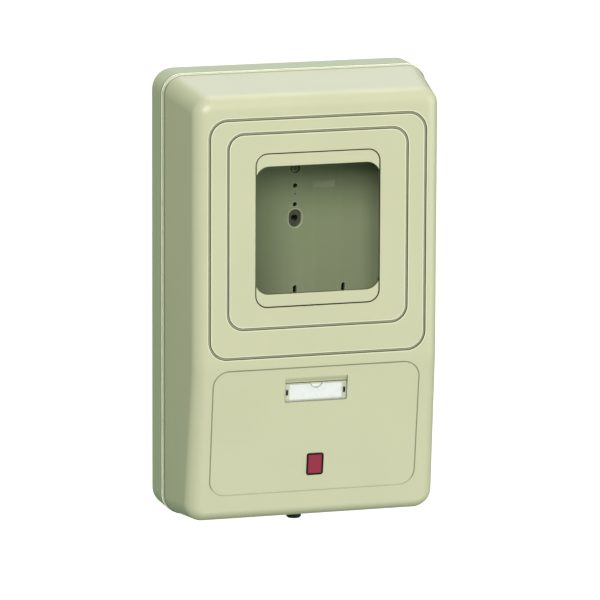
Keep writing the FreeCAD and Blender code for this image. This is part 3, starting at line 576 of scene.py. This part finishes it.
@dataclass(frozen=True)
class MouldedResin:
    """Injection-moulded resin: even colour with faint clouds, light gloss and a very fine skin."""

    name: str
    colour: Colour
    deep: Colour
    gloss: float = 0.4
    coat: float = 0.15
    # The next masks paint light into the colour: the first paints shade (darker colour, duller gloss), the second
    # paints highlight (paler colour).
    painted_shade: Optional[Mask] = None
    painted_shade_colour: Colour = (0.05, 0.055, 0.02)
    painted_shade_dulls: float = 0.3
    highlight_mask: Optional[Mask] = None
    painted_highlight: Colour = (0.95, 0.98, 0.80)
    streak: float = 0.0
    streak_stretch: Point = (1.0, 0.2, 0.04)
    cloud_size: float = 90.0 * MM
    cloud_reach: Step = (0.3, 0.75)
    cloud_share: float = 0.55
    cloud_dulls: float = 0.06
    flow_size: float = 20.0 * MM
    flow_stretch: Point = (1.0, 1.0, 0.25)
    flow_share: float = 0.3
    swell_size: float = 6.0 * MM
    grain_size: float = 1.1 * MM
    grain_share: float = 0.6
    grain_dulls: float = 0.08
    skin: float = 0.03 * MM
    coat_gloss: float = 0.2
    ior: float = 1.5

    def material(self) -> bpy.types.Material:
        """Builds the finish.

        Returns:
            The finished material.
        """
        g = Graph(self.name)
        clouds = g.noise(self.cloud_size, 2.0)
        flow = g.noise(self.flow_size, 4.0, self.flow_stretch)
        grain = g.noise(self.grain_size, 2.0)
        tone = clouds.ease(*self.cloud_reach) * self.cloud_share + flow * self.flow_share
        if self.streak:
            tone = tone + g.noise(self.swell_size, stretch=self.streak_stretch).swing(self.streak)
        height = grain * self.grain_share + g.noise(self.swell_size) * (1.0 - self.grain_share)
        paint = g.mix(tone, self.colour, self.deep)
        rough = self.gloss + grain.swing(self.grain_dulls) + clouds.swing(self.cloud_dulls)
        # Painted shade: darker colour and duller gloss where the mask says.
        if self.painted_shade:
            painted_shade_share = self.painted_shade(g)
            paint = g.mix(painted_shade_share, paint, self.painted_shade_colour)
            rough = rough + painted_shade_share * self.painted_shade_dulls
        # Painted highlight: paler colour where the mask says.
        if self.highlight_mask:
            paint = g.mix(self.highlight_mask(g), paint, self.painted_highlight)
        return g.surface(Base_Color=paint, Roughness=rough, Coat_Weight=self.coat,
                         Coat_Roughness=self.coat_gloss, IOR=self.ior, Normal=g.bump(height, self.skin))


@dataclass(frozen=True)
class PlatedSteel:
    """Plated or turned metal with fine drawing lines and a faint cast in patches."""

    name: str
    colour: Colour
    warm: Colour
    rough: float
    line_stretch: Point = (1.0, 1.0, 0.06)
    line_size: float = 0.6 * MM
    line_depth: float = 0.01 * MM
    line_dulls: float = 0.2
    patch_size: float = 12.0 * MM
    patch_reach: Step = (0.35, 0.7)
    patch_share: float = 0.7

    def material(self) -> bpy.types.Material:
        """Builds the finish.

        Returns:
            The finished material.
        """
        g = Graph(self.name)
        drawn = g.noise(self.line_size, 2.0, self.line_stretch)
        patch = g.noise(self.patch_size).ease(*self.patch_reach)
        return g.surface(Base_Color=g.mix(patch * self.patch_share, self.colour, self.warm), Metallic=1.0,
                         Roughness=self.rough + drawn.swing(self.line_dulls),
                         Normal=g.bump(drawn, self.line_depth))


@dataclass(frozen=True)
class SoftRubber:
    """Black rubber with a powdery bloom."""

    name: str
    colour: Colour
    bloom: Colour
    rough: float = 0.62
    powder_size: float = 4.0 * MM
    powder_reach: Step = (0.45, 0.8)
    powder_share: float = 0.5
    powder_dulls: float = 0.15
    pore_size: float = 0.5 * MM
    pore_depth: float = 0.04 * MM

    def material(self) -> bpy.types.Material:
        """Builds the finish.

        Returns:
            The finished material.
        """
        g = Graph(self.name)
        powder = g.noise(self.powder_size, 4.0).ease(*self.powder_reach)
        pores = g.noise(self.pore_size, 1.0)
        return g.surface(Base_Color=g.mix(powder * self.powder_share, self.colour, self.bloom),
                         Roughness=self.rough + powder.swing(self.powder_dulls),
                         Normal=g.bump(pores, self.pore_depth))


@dataclass(frozen=True)
class ClearResin:
    """Clear moulded resin, faintly green in its thickness."""

    name: str
    colour: Colour
    # The edges mask paints shade: the colour darkens there and the lid grows less clear.
    edges: Mask
    cover: float = 0.15
    painted_edge_shade: Colour = (0.10, 0.12, 0.07)
    edge_cover: float = 0.6
    green: Colour = (0.8, 0.9, 0.8)
    green_share: float = 0.3
    rough: float = 0.08
    ior: float = 1.49
    wave_size: float = 7.0 * MM
    wave_depth: float = 0.03 * MM
    wave_cover: float = 0.05

    def material(self) -> bpy.types.Material:
        """Builds the finish.

        Returns:
            The finished material.
        """
        g = Graph(self.name)
        g.material.surface_render_method = "BLENDED"
        waves = g.noise(self.wave_size, 1.0)
        # Painted shade along the lid's outline and painted shadow round its notch.
        edge = self.edges(g)
        body = g.mix(waves * self.green_share, self.colour, self.green)
        return g.surface(Base_Color=g.mix(edge, body, self.painted_edge_shade), Roughness=self.rough, IOR=self.ior,
                         Normal=g.bump(waves, self.wave_depth),
                         Alpha=self.cover + waves.swing(self.wave_cover) + edge * self.edge_cover)


@dataclass(frozen=True)
class CardStock:
    """White card with faint fibres."""

    name: str
    colour: Colour
    fibre: Colour
    rough: float = 0.85
    fibre_size: float = 0.8 * MM
    fibre_stretch: Point = (0.3, 1.0, 1.0)
    fibre_reach: Step = (0.45, 0.8)
    fibre_share: float = 0.4
    fibre_dulls: float = 0.1
    fibre_depth: float = 0.03 * MM

    def material(self) -> bpy.types.Material:
        """Builds the finish.

        Returns:
            The finished material.
        """
        g = Graph(self.name)
        fibres = g.noise(self.fibre_size, 4.0, self.fibre_stretch)
        share = fibres.ease(*self.fibre_reach) * self.fibre_share
        return g.surface(Base_Color=g.mix(share, self.colour, self.fibre),
                         Roughness=self.rough + fibres.swing(self.fibre_dulls),
                         Normal=g.bump(fibres, self.fibre_depth))


@dataclass(frozen=True)
class EnamelledBadge:
    """Blank badge: dark red enamel sunk in a black rim."""

    name: str
    red: Colour
    black: Colour
    low: Vector
    high: Vector
    rim: float = 1.9 * MM
    rough: float = 0.2
    specular: float = 0.25
    cell_size: float = 1.2 * MM
    cell_share: float = 0.5
    cell_shade: float = 0.55
    cell_dulls: float = 0.06
    cell_depth: float = 0.04 * MM

    def field_edge(self, g: Graph, axis: int) -> Value:
        """Distance outside the red field along one axis."""
        middle, half = (self.low[axis] + self.high[axis]) / 2, (self.high[axis] - self.low[axis]) / 2
        return abs(g.along(axis) - middle) - (half - self.rim)

    def material(self) -> bpy.types.Material:
        """Builds the finish.

        Returns:
            The finished material.
        """
        g = Graph(self.name)
        inside = 1.0 - self.field_edge(g, 0).largest(self.field_edge(g, 2)).ease(-LINE_SOFT, LINE_SOFT)
        cells = g.noise(self.cell_size)
        paint = g.mix(cells * self.cell_share, self.red, tuple(part * self.cell_shade for part in self.red))
        return g.surface(Base_Color=g.mix(inside, self.black, paint), Specular_IOR_Level=self.specular,
                         Roughness=self.rough + cells.swing(self.cell_dulls),
                         Normal=g.bump(cells, self.cell_depth))


class Finishes:
    """The finishes of the box by the record's slots."""

    def __init__(self) -> None:
        """Builds each material once."""
        face_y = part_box("front_cover")[0].y
        kinds = {**self.resins(face_y), **self.metals(), **self.trim(face_y)}
        self.by_slot = {slot: kind.material() for slot, kind in kinds.items()}

    def resins(self, face_y: float) -> dict:
        """The moulded resins.

        Args:
            face_y: where the cover's front is.

        Returns:
            The finishes by slot.
        """
        # The resins' masks paint shade into the cover, the base and the window frame, and highlight into the
        # cover, the base and the board.
        cover_light, seam = CoverPaintedLight(face_y), SeamPaintedLight()
        return {
            Slot.COVER: MouldedResin("beige_cover", (0.585, 0.588, 0.415), (0.555, 0.56, 0.392),
                                     painted_shade=cover_light.share, highlight_mask=cover_light.painted_highlight),
            Slot.BASE: MouldedResin("beige_base", (0.61, 0.66, 0.455), (0.58, 0.625, 0.43), gloss=0.42,
                                    painted_shade=seam.share, highlight_mask=seam.painted_highlight),
            Slot.ADAPTER: MouldedResin("beige_adapter", (0.585, 0.588, 0.415), (0.56, 0.563, 0.395),
                                       coat=0.05, painted_shade=FramePaintedShade(face_y).share),
            # The board's beige resin is made darker and greener here, painted shade for the dim inside of the
            # box; its paler rims round the holes are painted highlight.
            Slot.PLATE: MouldedResin("board_painted_shade", (0.29, 0.342, 0.203), (0.255, 0.305, 0.175), gloss=0.5,
                                     coat=0.0, streak=0.9, highlight_mask=PlatePaintedHighlight().share, painted_highlight=(0.55, 0.59, 0.42)),
            Slot.KNOB: MouldedResin("black_knob", (0.006, 0.006, 0.006), (0.010, 0.010, 0.009), gloss=0.42,
                                    coat=0.0),
        }

    def metals(self) -> dict:
        """The plated steel and the turned brass, by slot."""
        return {
            Slot.STEEL: PlatedSteel("zinc_steel", (0.17, 0.18, 0.15), (0.20, 0.195, 0.13), rough=0.4),
            Slot.BRASS: PlatedSteel("turned_brass", (0.72, 0.52, 0.24), (0.60, 0.42, 0.20), rough=0.34,
                                    line_stretch=(1.0, 0.05, 1.0)),
        }

    def trim(self, face_y: float) -> dict:
        """The rubber, the clear lid, the card and the badge.

        Args:
            face_y: where the cover's front is.

        Returns:
            The finishes by slot.
        """
        return {
            Slot.RUBBER: SoftRubber("black_rubber", (0.018, 0.018, 0.018), (0.06, 0.06, 0.058)),
            Slot.CLEAR: ClearResin("clear_lid", (0.93, 0.95, 0.95), LidPaintedShade(face_y).share),
            Slot.CARD: CardStock("white_card", (0.87, 0.885, 0.93), (0.79, 0.80, 0.83)),
            Slot.BADGE: EnamelledBadge("red_badge", (0.34, 0.032, 0.07), (0.006, 0.003, 0.004),
                                       *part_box("badge_plate")),
        }

    def __getitem__(self, slot: Slot) -> bpy.types.Material:
        """Material of one slot."""
        return self.by_slot[slot]


def deselect() -> None:
    """Leaves object mode with nothing selected."""
    if bpy.context.mode != "OBJECT":
        bpy.ops.object.mode_set(mode="OBJECT")
    bpy.ops.object.select_all(action="DESELECT")


def use(piece: bpy.types.Object) -> None:
    """Makes one object the only selected and active one.

    Args:
        piece: the object.
    """
    deselect()
    piece.select_set(True)
    bpy.context.view_layer.objects.active = piece


def set_place(piece: bpy.types.Object) -> None:
    """Puts an object's place, turn and scale into its mesh.

    Args:
        piece: the object.
    """
    use(piece)
    bpy.ops.object.transform_apply(location=True, rotation=True, scale=True)


def pick_faces(piece: bpy.types.Object, wanted: Callable[[bpy.types.MeshPolygon], bool]) -> None:
    """Selects the faces that answer a test and goes to edit mode.

    Args:
        piece: the object.
        wanted: test on a face.
    """
    use(piece)
    mesh = piece.data
    for part in (mesh.vertices, mesh.edges, mesh.polygons):
        part.foreach_set("select", [False] * len(part))
    for face in mesh.polygons:
        face.select = wanted(face)
    bpy.ops.object.mode_set(mode="EDIT")
    bpy.ops.mesh.select_mode(type="FACE")


def pick_edges(piece: bpy.types.Object, wanted: Callable[[Vector, Vector], bool]) -> None:
    """Selects the edges whose two ends answer a test and goes to edit mode.

    Args:
        piece: the object.
        wanted: test on the two ends of an edge.
    """
    use(piece)
    bpy.ops.object.mode_set(mode="EDIT")
    bpy.ops.mesh.select_mode(type="EDGE")
    bpy.ops.mesh.select_all(action="DESELECT")
    bpy.ops.object.mode_set(mode="OBJECT")
    mesh = piece.data
    for edge in mesh.edges:
        first, second = (mesh.vertices[i].co for i in edge.vertices)
        edge.select = wanted(first, second)
    bpy.ops.object.mode_set(mode="EDIT")


def apply_modifier(piece: bpy.types.Object, kind: str, **settings: object) -> None:
    """Adds a modifier, sets it and applies it.

    Args:
        piece: the object.
        kind: the modifier's type.
        settings: its properties.
    """
    use(piece)
    added = piece.modifiers.new(kind.lower(), kind)
    for key, value in settings.items():
        setattr(added, key, value)
    bpy.ops.object.modifier_apply(modifier=added.name)


def break_edges(piece: bpy.types.Object, width: float, angle: float = 30.0) -> None:
    """Bevels the edges of an object that are sharper than an angle in degrees."""
    apply_modifier(piece, "BEVEL", width=width, segments=EDGE_STEPS, limit_method="ANGLE",
                   angle_limit=math.radians(angle))


@dataclass
class Maker:
    """Finishes pieces: smooth shading, the material of their slot, and body."""

    finishes: Finishes
    merge: float = 0.002 * MM
    flat_angle: float = 0.2
    edge_angle: float = 38.0
    copy_smooth: float = 33.0
    flat_weight: int = 80

    def close(self, piece: bpy.types.Object, name: str, body: Body, slot: Slot, *nodes: str,
              smooth: float = 32.0, flats: bool = False,
              finish: Optional[bpy.types.Material] = None) -> bpy.types.Object:
        """Ends a new piece.

        Args:
            piece: the modelled object.
            name: its name in the scene.
            body: the body that it rides on.
            slot: the record's slot of its finish.
            nodes: CAD nodes that it stands for.
            smooth: greatest angle in degrees between faces that shade as one.
            flats: whether large flat faces keep their own shading.
            finish: material other than the slot's usual one.

        Returns:
            The finished piece.
        """
        set_place(piece)
        bpy.ops.object.shade_smooth_by_angle(angle=math.radians(smooth))
        if flats:
            apply_modifier(piece, "WEIGHTED_NORMAL", mode="FACE_AREA", weight=self.flat_weight, keep_sharp=True)
        piece.name = name
        piece.data.name = name
        piece.data.materials.clear()
        piece.data.materials.append(finish or self.finishes[slot])
        deselect()
        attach(piece, body.value)
        if nodes:
            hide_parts(*nodes)
        log.info("made %s with %d faces", name, len(piece.data.polygons))
        return piece

    def merged_copy(self, node: str, name: str) -> bpy.types.Object:
        """Copy of a CAD node with its loose triangles merged into faces.

        Args:
            node: the CAD node.
            name: name of the copy.

        Returns:
            The copy.
        """
        piece = bpy.data.objects.new(name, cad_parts[node].data.copy())
        bpy.context.scene.collection.objects.link(piece)
        use(piece)
        bpy.ops.object.mode_set(mode="EDIT")
        bpy.ops.mesh.select_all(action="SELECT")
        bpy.ops.mesh.remove_doubles(threshold=self.merge)
        bpy.ops.mesh.customdata_custom_splitnormals_clear()
        bpy.ops.mesh.dissolve_limited(angle_limit=math.radians(self.flat_angle), delimit={"NORMAL"})
        bpy.ops.object.mode_set(mode="OBJECT")
        return piece

    def finer_copy(self, node: str, name: str, body: Body, slot: Slot, edge: float) -> bpy.types.Object:
        """Smoothly shaded copy of a CAD node, with its sharp edges broken.

        Args:
            node: the CAD node.
            name: name of the copy.
            body: the body that it rides on.
            slot: the record's slot of its finish.
            edge: width of the broken edges in metres.

        Returns:
            The finished piece.
        """
        piece = self.merged_copy(node, name)
        break_edges(piece, edge, self.edge_angle)
        return self.close(piece, name, body, slot, node, smooth=self.copy_smooth, flats=True)


@dataclass(frozen=True)
class Lamp:
    """One rectangular soft light."""

    name: str
    at: Point
    size: tuple[float, float]
    watts: float
    tint: Colour = (1.0, 1.0, 1.0)

    def hang(self, aim: Point) -> None:
        """Adds the light to the scene.

        Args:
            aim: the point that it faces.
        """
        data = bpy.data.lights.new(self.name, "AREA")
        data.shape = "RECTANGLE"
        data.size, data.size_y = self.size
        data.energy = self.watts
        data.color = self.tint
        light = bpy.data.objects.new(self.name, data)
        light.location = self.at
        light.rotation_euler = (Vector(aim) - Vector(self.at)).to_track_quat("-Z", "Y").to_euler()
        light.visible_camera = False
        bpy.context.scene.collection.objects.link(light)


@dataclass
class Studio:
    """Camera at the photograph's place, soft lights and a pale floor."""

    distance: float = 5.8
    height: float = 1.1281
    front_y: float = -0.122
    yaw: float = 16.724
    pitch: float = 11.685
    turn: float = 0.167
    roll: float = 0.271
    lens: float = 363.47
    sensor: float = 36.0
    far: float = 100.0
    floor_z: float = -1.3
    floor_size: float = 60.0
    floor_tones: tuple[Colour, Colour] = ((0.5, 0.5, 0.5), (0.48, 0.48, 0.48))
    floor_cloud: float = 2.0
    floor_share: float = 0.2
    floor_rough: float = 0.9
    floor_glow: float = 0.95
    sheet: Point = (0.25, 0.75, 0.61)
    sheet_edge: Step = (0.88, 0.97)
    sheet_light: Colour = (1.35, 1.35, 1.5)
    room_light: Colour = (0.205, 0.27, 0.198)
    middle: Point = (0.0, -0.06, -0.07)
    lamps: tuple[Lamp, ...] = (
        Lamp("key", (-1.15, -3.0, 1.6), (2.2, 1.6), 109.0, (1.0, 0.967, 0.94)),
        Lamp("fill", (0.31, -1.04, -1.25), (2.0, 0.8), 8.0, (1.0, 0.972, 0.93)),
        Lamp("right", (2.1, -1.0, 0.3), (1.6, 1.6), 24.0, (1.0, 0.972, 0.93)),
        Lamp("top", (0.6, 0.5, 2.2), (2.4, 0.8), 18.0))

    def camera(self) -> None:
        """Places the camera."""
        data = bpy.data.cameras.new("photo_camera")
        data.lens = self.lens
        data.sensor_width = self.sensor
        data.clip_end = self.far
        yaw = math.radians(self.yaw)
        at = (-self.distance * math.sin(yaw), self.front_y - self.distance * math.cos(yaw), self.height)
        turned = (Matrix.Rotation(-yaw, 4, "Z")
                  @ Matrix.Rotation(math.radians(90.0 - self.pitch), 4, "X")
                  @ Matrix.Rotation(math.radians(self.turn), 4, "Y")
                  @ Matrix.Rotation(math.radians(self.roll), 4, "Z"))
        camera = bpy.data.objects.new("photo_camera", data)
        camera.matrix_world = Matrix.Translation(at) @ turned
        bpy.context.scene.collection.objects.link(camera)
        bpy.context.scene.camera = camera

    def floor(self) -> None:
        """Adds the floor."""
        deselect()
        bpy.ops.mesh.primitive_plane_add(size=self.floor_size, location=(0.0, 0.0, self.floor_z))
        floor = bpy.context.object
        floor.name = "pale_floor"
        g = Graph("pale_floor")
        tone = g.noise(self.floor_cloud, 2.0)
        floor.data.materials.append(
            g.surface(Base_Color=g.mix(tone * self.floor_share, *self.floor_tones), Roughness=self.floor_rough,
                      Emission_Color=(1.0, 1.0, 1.0), Emission_Strength=self.floor_glow))
        floor.visible_glossy = False
        floor.visible_diffuse = False

    def room(self) -> None:
        """Sets the dim room: a white sheet hangs high behind the box, the rest is darker."""
        world = bpy.data.worlds.new("room")
        world.use_nodes = True
        tree = world.node_tree
        where = tree.nodes.new("ShaderNodeTexCoord")
        towards = tree.nodes.new("ShaderNodeVectorMath")
        towards.operation = "DOT_PRODUCT"
        towards.inputs[1].default_value = self.sheet
        ramp = tree.nodes.new("ShaderNodeMapRange")
        ramp.interpolation_type = "SMOOTHSTEP"
        ramp.inputs[1].default_value, ramp.inputs[2].default_value = self.sheet_edge
        blend = tree.nodes.new("ShaderNodeMix")
        blend.data_type = "RGBA"
        blend.inputs[6].default_value = (*self.room_light, 1.0)
        blend.inputs[7].default_value = (*self.sheet_light, 1.0)
        tree.links.new(where.outputs["Generated"], towards.inputs[0])
        tree.links.new(towards.outputs["Value"], ramp.inputs[0])
        tree.links.new(ramp.outputs[0], blend.inputs[0])
        tree.links.new(blend.outputs[2], tree.nodes["Background"].inputs["Color"])
        bpy.context.scene.world = world

    def build(self) -> None:
        """Sets up the whole studio."""
        self.camera()
        self.floor()
        self.room()
        for lamp in self.lamps:
            lamp.hang(self.middle)
        bpy.context.scene.view_settings.view_transform = "Standard"


@dataclass
class MouldedShells:
    """The large moulded pieces, smooth and with their edges broken."""

    maker: Maker
    edge: float = 0.3 * MM

    def build(self) -> None:
        """Builds the cover, base, adapter and plate."""
        make = self.maker.finer_copy
        make("front_cover", "cover_shell", Body.COVER, Slot.COVER, self.edge)
        make("rear_base", "base_tray", Body.BASE, Slot.BASE, self.edge)
        make("window_adapter", "window_frame", Body.COVER, Slot.ADAPTER, self.edge)
        make("meter_plate", "meter_board", Body.BASE, Slot.PLATE, self.edge)


@dataclass
class BlankLabel:
    """Raised blank frame moulded on the meter board."""

    maker: Maker
    left: float = 17.4 * MM
    right: float = 41.1 * MM
    middle_z: float = 28.9 * MM
    half_h: float = 3.5 * MM
    line: float = 0.8 * MM
    proud: float = 0.5 * MM
    sink: float = 0.45 * MM
    edge: float = 0.12 * MM
    # A paler copy of the board's resin: painted highlight, as if light caught the raised frame.
    finish: MouldedResin = MouldedResin("plate_lit_copy", (0.335, 0.385, 0.235), (0.30, 0.345, 0.21),
                                        gloss=0.5, coat=0.0)

    def build(self) -> None:
        """Builds the frame from a thin block whose front is inset and sunk."""
        low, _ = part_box("meter_plate")
        deselect()
        at = ((self.left + self.right) / 2, low.y, self.middle_z)
        bpy.ops.mesh.primitive_cube_add(size=1.0, location=at)
        piece = bpy.context.object
        piece.scale = (self.right - self.left, 2 * self.proud, 2 * self.half_h)
        set_place(piece)
        pick_faces(piece, lambda face: face.normal.y < -FACING)
        bpy.ops.mesh.inset(thickness=self.line)
        bpy.ops.transform.translate(value=(0.0, self.sink, 0.0))
        bpy.ops.object.mode_set(mode="OBJECT")
        break_edges(piece, self.edge)
        self.maker.close(piece, "blank_label_frame", Body.BASE, Slot.PLATE, finish=self.finish.material())


@dataclass
class CrossScrews:
    """Pan-head screws with a cross recess: four in the meter board and one in the hanger."""

    maker: Maker
    head_r: float = 4.0 * MM
    head_t: float = 2.5 * MM
    hanger_t: float = 2.4 * MM
    head_sides: int = 48
    rounding: float = 0.62
    rounding_steps: int = 6
    shank_r: float = 2.0 * MM
    shank_tip: float = 0.8
    arm: float = 2.3 * MM
    arm_w: float = 0.95 * MM
    arm_taper: float = 0.45
    sink: float = 1.5 * MM
    first_turn: float = 0.4
    next_turn: float = 1.1

    def cutter(self, y: float) -> bpy.types.Object:
        """Makes the tapered cross that is cut out of a head.

        Args:
            y: where the head's front is.

        Returns:
            The cross.
        """
        arms = []
        for across, high in ((self.arm, self.arm_w / 2), (self.arm_w / 2, self.arm)):
            deselect()
            bpy.ops.mesh.primitive_cube_add(size=2.0, location=(0.0, y, 0.0))
            arm = bpy.context.object
            arm.scale = (across, self.sink, high)
            set_place(arm)
            pick_faces(arm, lambda face: face.normal.y > FACING)
            bpy.ops.transform.resize(value=(self.arm_taper, 1.0, self.arm_taper), center_override=(0.0, y, 0.0))
            bpy.ops.object.mode_set(mode="OBJECT")
            arms.append(arm)
        apply_modifier(arms[0], "BOOLEAN", operation="UNION", object=arms[1])
        bpy.data.objects.remove(arms[1])
        return arms[0]

    def screw(self, head_r: float, head_t: float, length: float) -> bpy.types.Object:
        """Makes one screw, with its head's seat at y = 0 and its shank towards +Y.

        Args:
            head_r: radius of the head.
            head_t: thickness of the head.
            length: length of the shank.

        Returns:
            The screw.
        """
        deselect()
        bpy.ops.mesh.primitive_cylinder_add(vertices=self.head_sides, radius=head_r, depth=head_t,
                                            location=(0.0, -head_t / 2, 0.0), rotation=(math.pi / 2, 0.0, 0.0))
        piece = bpy.context.object
        set_place(piece)
        front = -head_t * FACING
        pick_edges(piece, lambda a, b: a.y < front and b.y < front)
        bpy.ops.mesh.bevel(offset=head_t * self.rounding, segments=self.rounding_steps, profile=0.5)
        pick_faces(piece, lambda face: face.normal.y > FACING and len(face.vertices) == self.head_sides)
        bpy.ops.mesh.inset(thickness=head_r - self.shank_r)
        bpy.ops.mesh.extrude_region_move(TRANSFORM_OT_translate={"value": (0.0, length, 0.0)})
        bpy.ops.transform.resize(value=(self.shank_tip, 1.0, self.shank_tip), center_override=(0.0, 0.0, 0.0))
        bpy.ops.object.mode_set(mode="OBJECT")
        cross = self.cutter(-head_t)
        apply_modifier(piece, "BOOLEAN", operation="DIFFERENCE", object=cross)
        bpy.data.objects.remove(cross)
        return piece

    def copies(self, screw: bpy.types.Object, places: list[Point]) -> bpy.types.Object:
        """Sets copies of a screw at their places, each turned a little differently.

        Args:
            screw: the screw, which is then removed.
            places: where the seats of the heads are.

        Returns:
            All copies as one object.
        """
        made = []
        for number, place in enumerate(places):
            copy = bpy.data.objects.new("screw_copy", screw.data.copy())
            bpy.context.scene.collection.objects.link(copy)
            turn = self.first_turn + self.next_turn * number
            copy.matrix_world = Matrix.Translation(place) @ Matrix.Rotation(turn, 4, "Y")
            made.append(copy)
        bpy.data.objects.remove(screw)
        for copy in made:
            set_place(copy)
        for copy in made:
            copy.select_set(True)
        bpy.context.view_layer.objects.active = made[0]
        if len(made) > 1:
            bpy.ops.object.join()
        return made[0]

    def build(self) -> None:
        """Builds both kinds of screw."""
        low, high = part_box("plate_screws")
        screw = self.screw(self.head_r, self.head_t, high.y - low.y - self.head_t)
        seat = low.y + self.head_t
        places = [(x, seat, z) for x in (low.x + self.head_r, high.x - self.head_r)
                  for z in (low.z + self.head_r, high.z - self.head_r)]
        self.maker.close(self.copies(screw, places), "board_screws", Body.BASE, Slot.STEEL, "plate_screws")
        low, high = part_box("hanger_screw")
        screw = self.screw((high.x - low.x) / 2, self.hanger_t, high.y - low.y - self.hanger_t)
        place = ((low.x + high.x) / 2, low.y + self.hanger_t, (low.z + high.z) / 2)
        self.maker.close(self.copies(screw, [place]), "hanger_pan_screw", Body.BASE, Slot.STEEL, "hanger_screw")


@dataclass
class CardHolder:
    """Name card behind its clear lid, and the blank badge below."""

    maker: Maker
    lid_edge: float = 0.12 * MM
    card_edge: float = 0.08 * MM
    badge_edge: float = 0.12 * MM
    badge_edge_angle: float = 35.0
    badge_rim: float = 1.5 * MM
    badge_sink: float = 0.15 * MM
    front_cosine: float = 0.5

    def build(self) -> None:
        """Builds the lid, the card and the badge."""
        self.maker.finer_copy("card_lid", "clear_card_lid", Body.LID, Slot.CLEAR, self.lid_edge)
        self.maker.finer_copy("name_card", "blank_name_card", Body.COVER, Slot.CARD, self.card_edge)
        badge = self.maker.merged_copy("badge_plate", "badge")
        widest = max(face.area for face in badge.data.polygons if face.normal.y < -self.front_cosine)
        pick_faces(badge, lambda face: face.normal.y < -self.front_cosine and face.area > widest * FACING)
        bpy.ops.mesh.inset(thickness=self.badge_rim)
        bpy.ops.transform.translate(value=(0.0, self.badge_sink, 0.0))
        bpy.ops.object.mode_set(mode="OBJECT")
        break_edges(badge, self.badge_edge, self.badge_edge_angle)
        self.maker.close(badge, "blank_badge", Body.COVER, Slot.BADGE, "badge_plate", flats=True)


@dataclass
class SmallParts:
    """Fasteners, rubber and strip, with their edges broken."""

    maker: Maker
    parts: dict[str, tuple[str, Body, Slot, float]] = field(default_factory=lambda: {
        "hanger_strip": ("hanger_plate", Body.BASE, Slot.STEEL, 0.15 * MM),
        "strip_rivets": ("strip_rivet_heads", Body.BASE, Slot.STEEL, 0.15 * MM),
        "plate_inserts": ("brass_inserts", Body.BASE, Slot.BRASS, 0.1 * MM),
        "wall_washers": ("wall_sealing_washers", Body.BASE, Slot.RUBBER, 0.2 * MM),
        "cable_bushings": ("cable_grommets", Body.BASE, Slot.RUBBER, 0.2 * MM),
        "cover_screw": ("cover_screw_shank", Body.SCREW, Slot.STEEL, 0.1 * MM),
        "cover_knob": ("fluted_knob", Body.SCREW, Slot.KNOB, 0.25 * MM),
        "knob_washer": ("knob_seal", Body.COVER, Slot.RUBBER, 0.1 * MM),
        "screw_ring": ("retaining_ring", Body.SCREW, Slot.STEEL, 0.1 * MM),
        "cover_nut": ("travelling_nut", Body.NUT, Slot.STEEL, 0.2 * MM),
        "slot_nut_left": ("square_nut_left", Body.LEFT_NUT, Slot.STEEL, 0.2 * MM),
        "slot_nut_middle": ("square_nut_middle", Body.MIDDLE_NUT, Slot.STEEL, 0.2 * MM),
        "slot_nut_right": ("square_nut_right", Body.RIGHT_NUT, Slot.STEEL, 0.2 * MM),
    })

    def build(self) -> None:
        """Builds each piece from its CAD node."""
        for node, (name, body, slot, edge) in self.parts.items():
            self.maker.finer_copy(node, name, body, slot, edge)


def main() -> None:
    logging.basicConfig(level=logging.INFO, format="%(message)s")
    Studio().build()
    maker = Maker(Finishes())
    MouldedShells(maker).build()
    BlankLabel(maker).build()
    CrossScrews(maker).build()
    CardHolder(maker).build()
    SmallParts(maker).build()


if __name__ == "__main__":
    main()
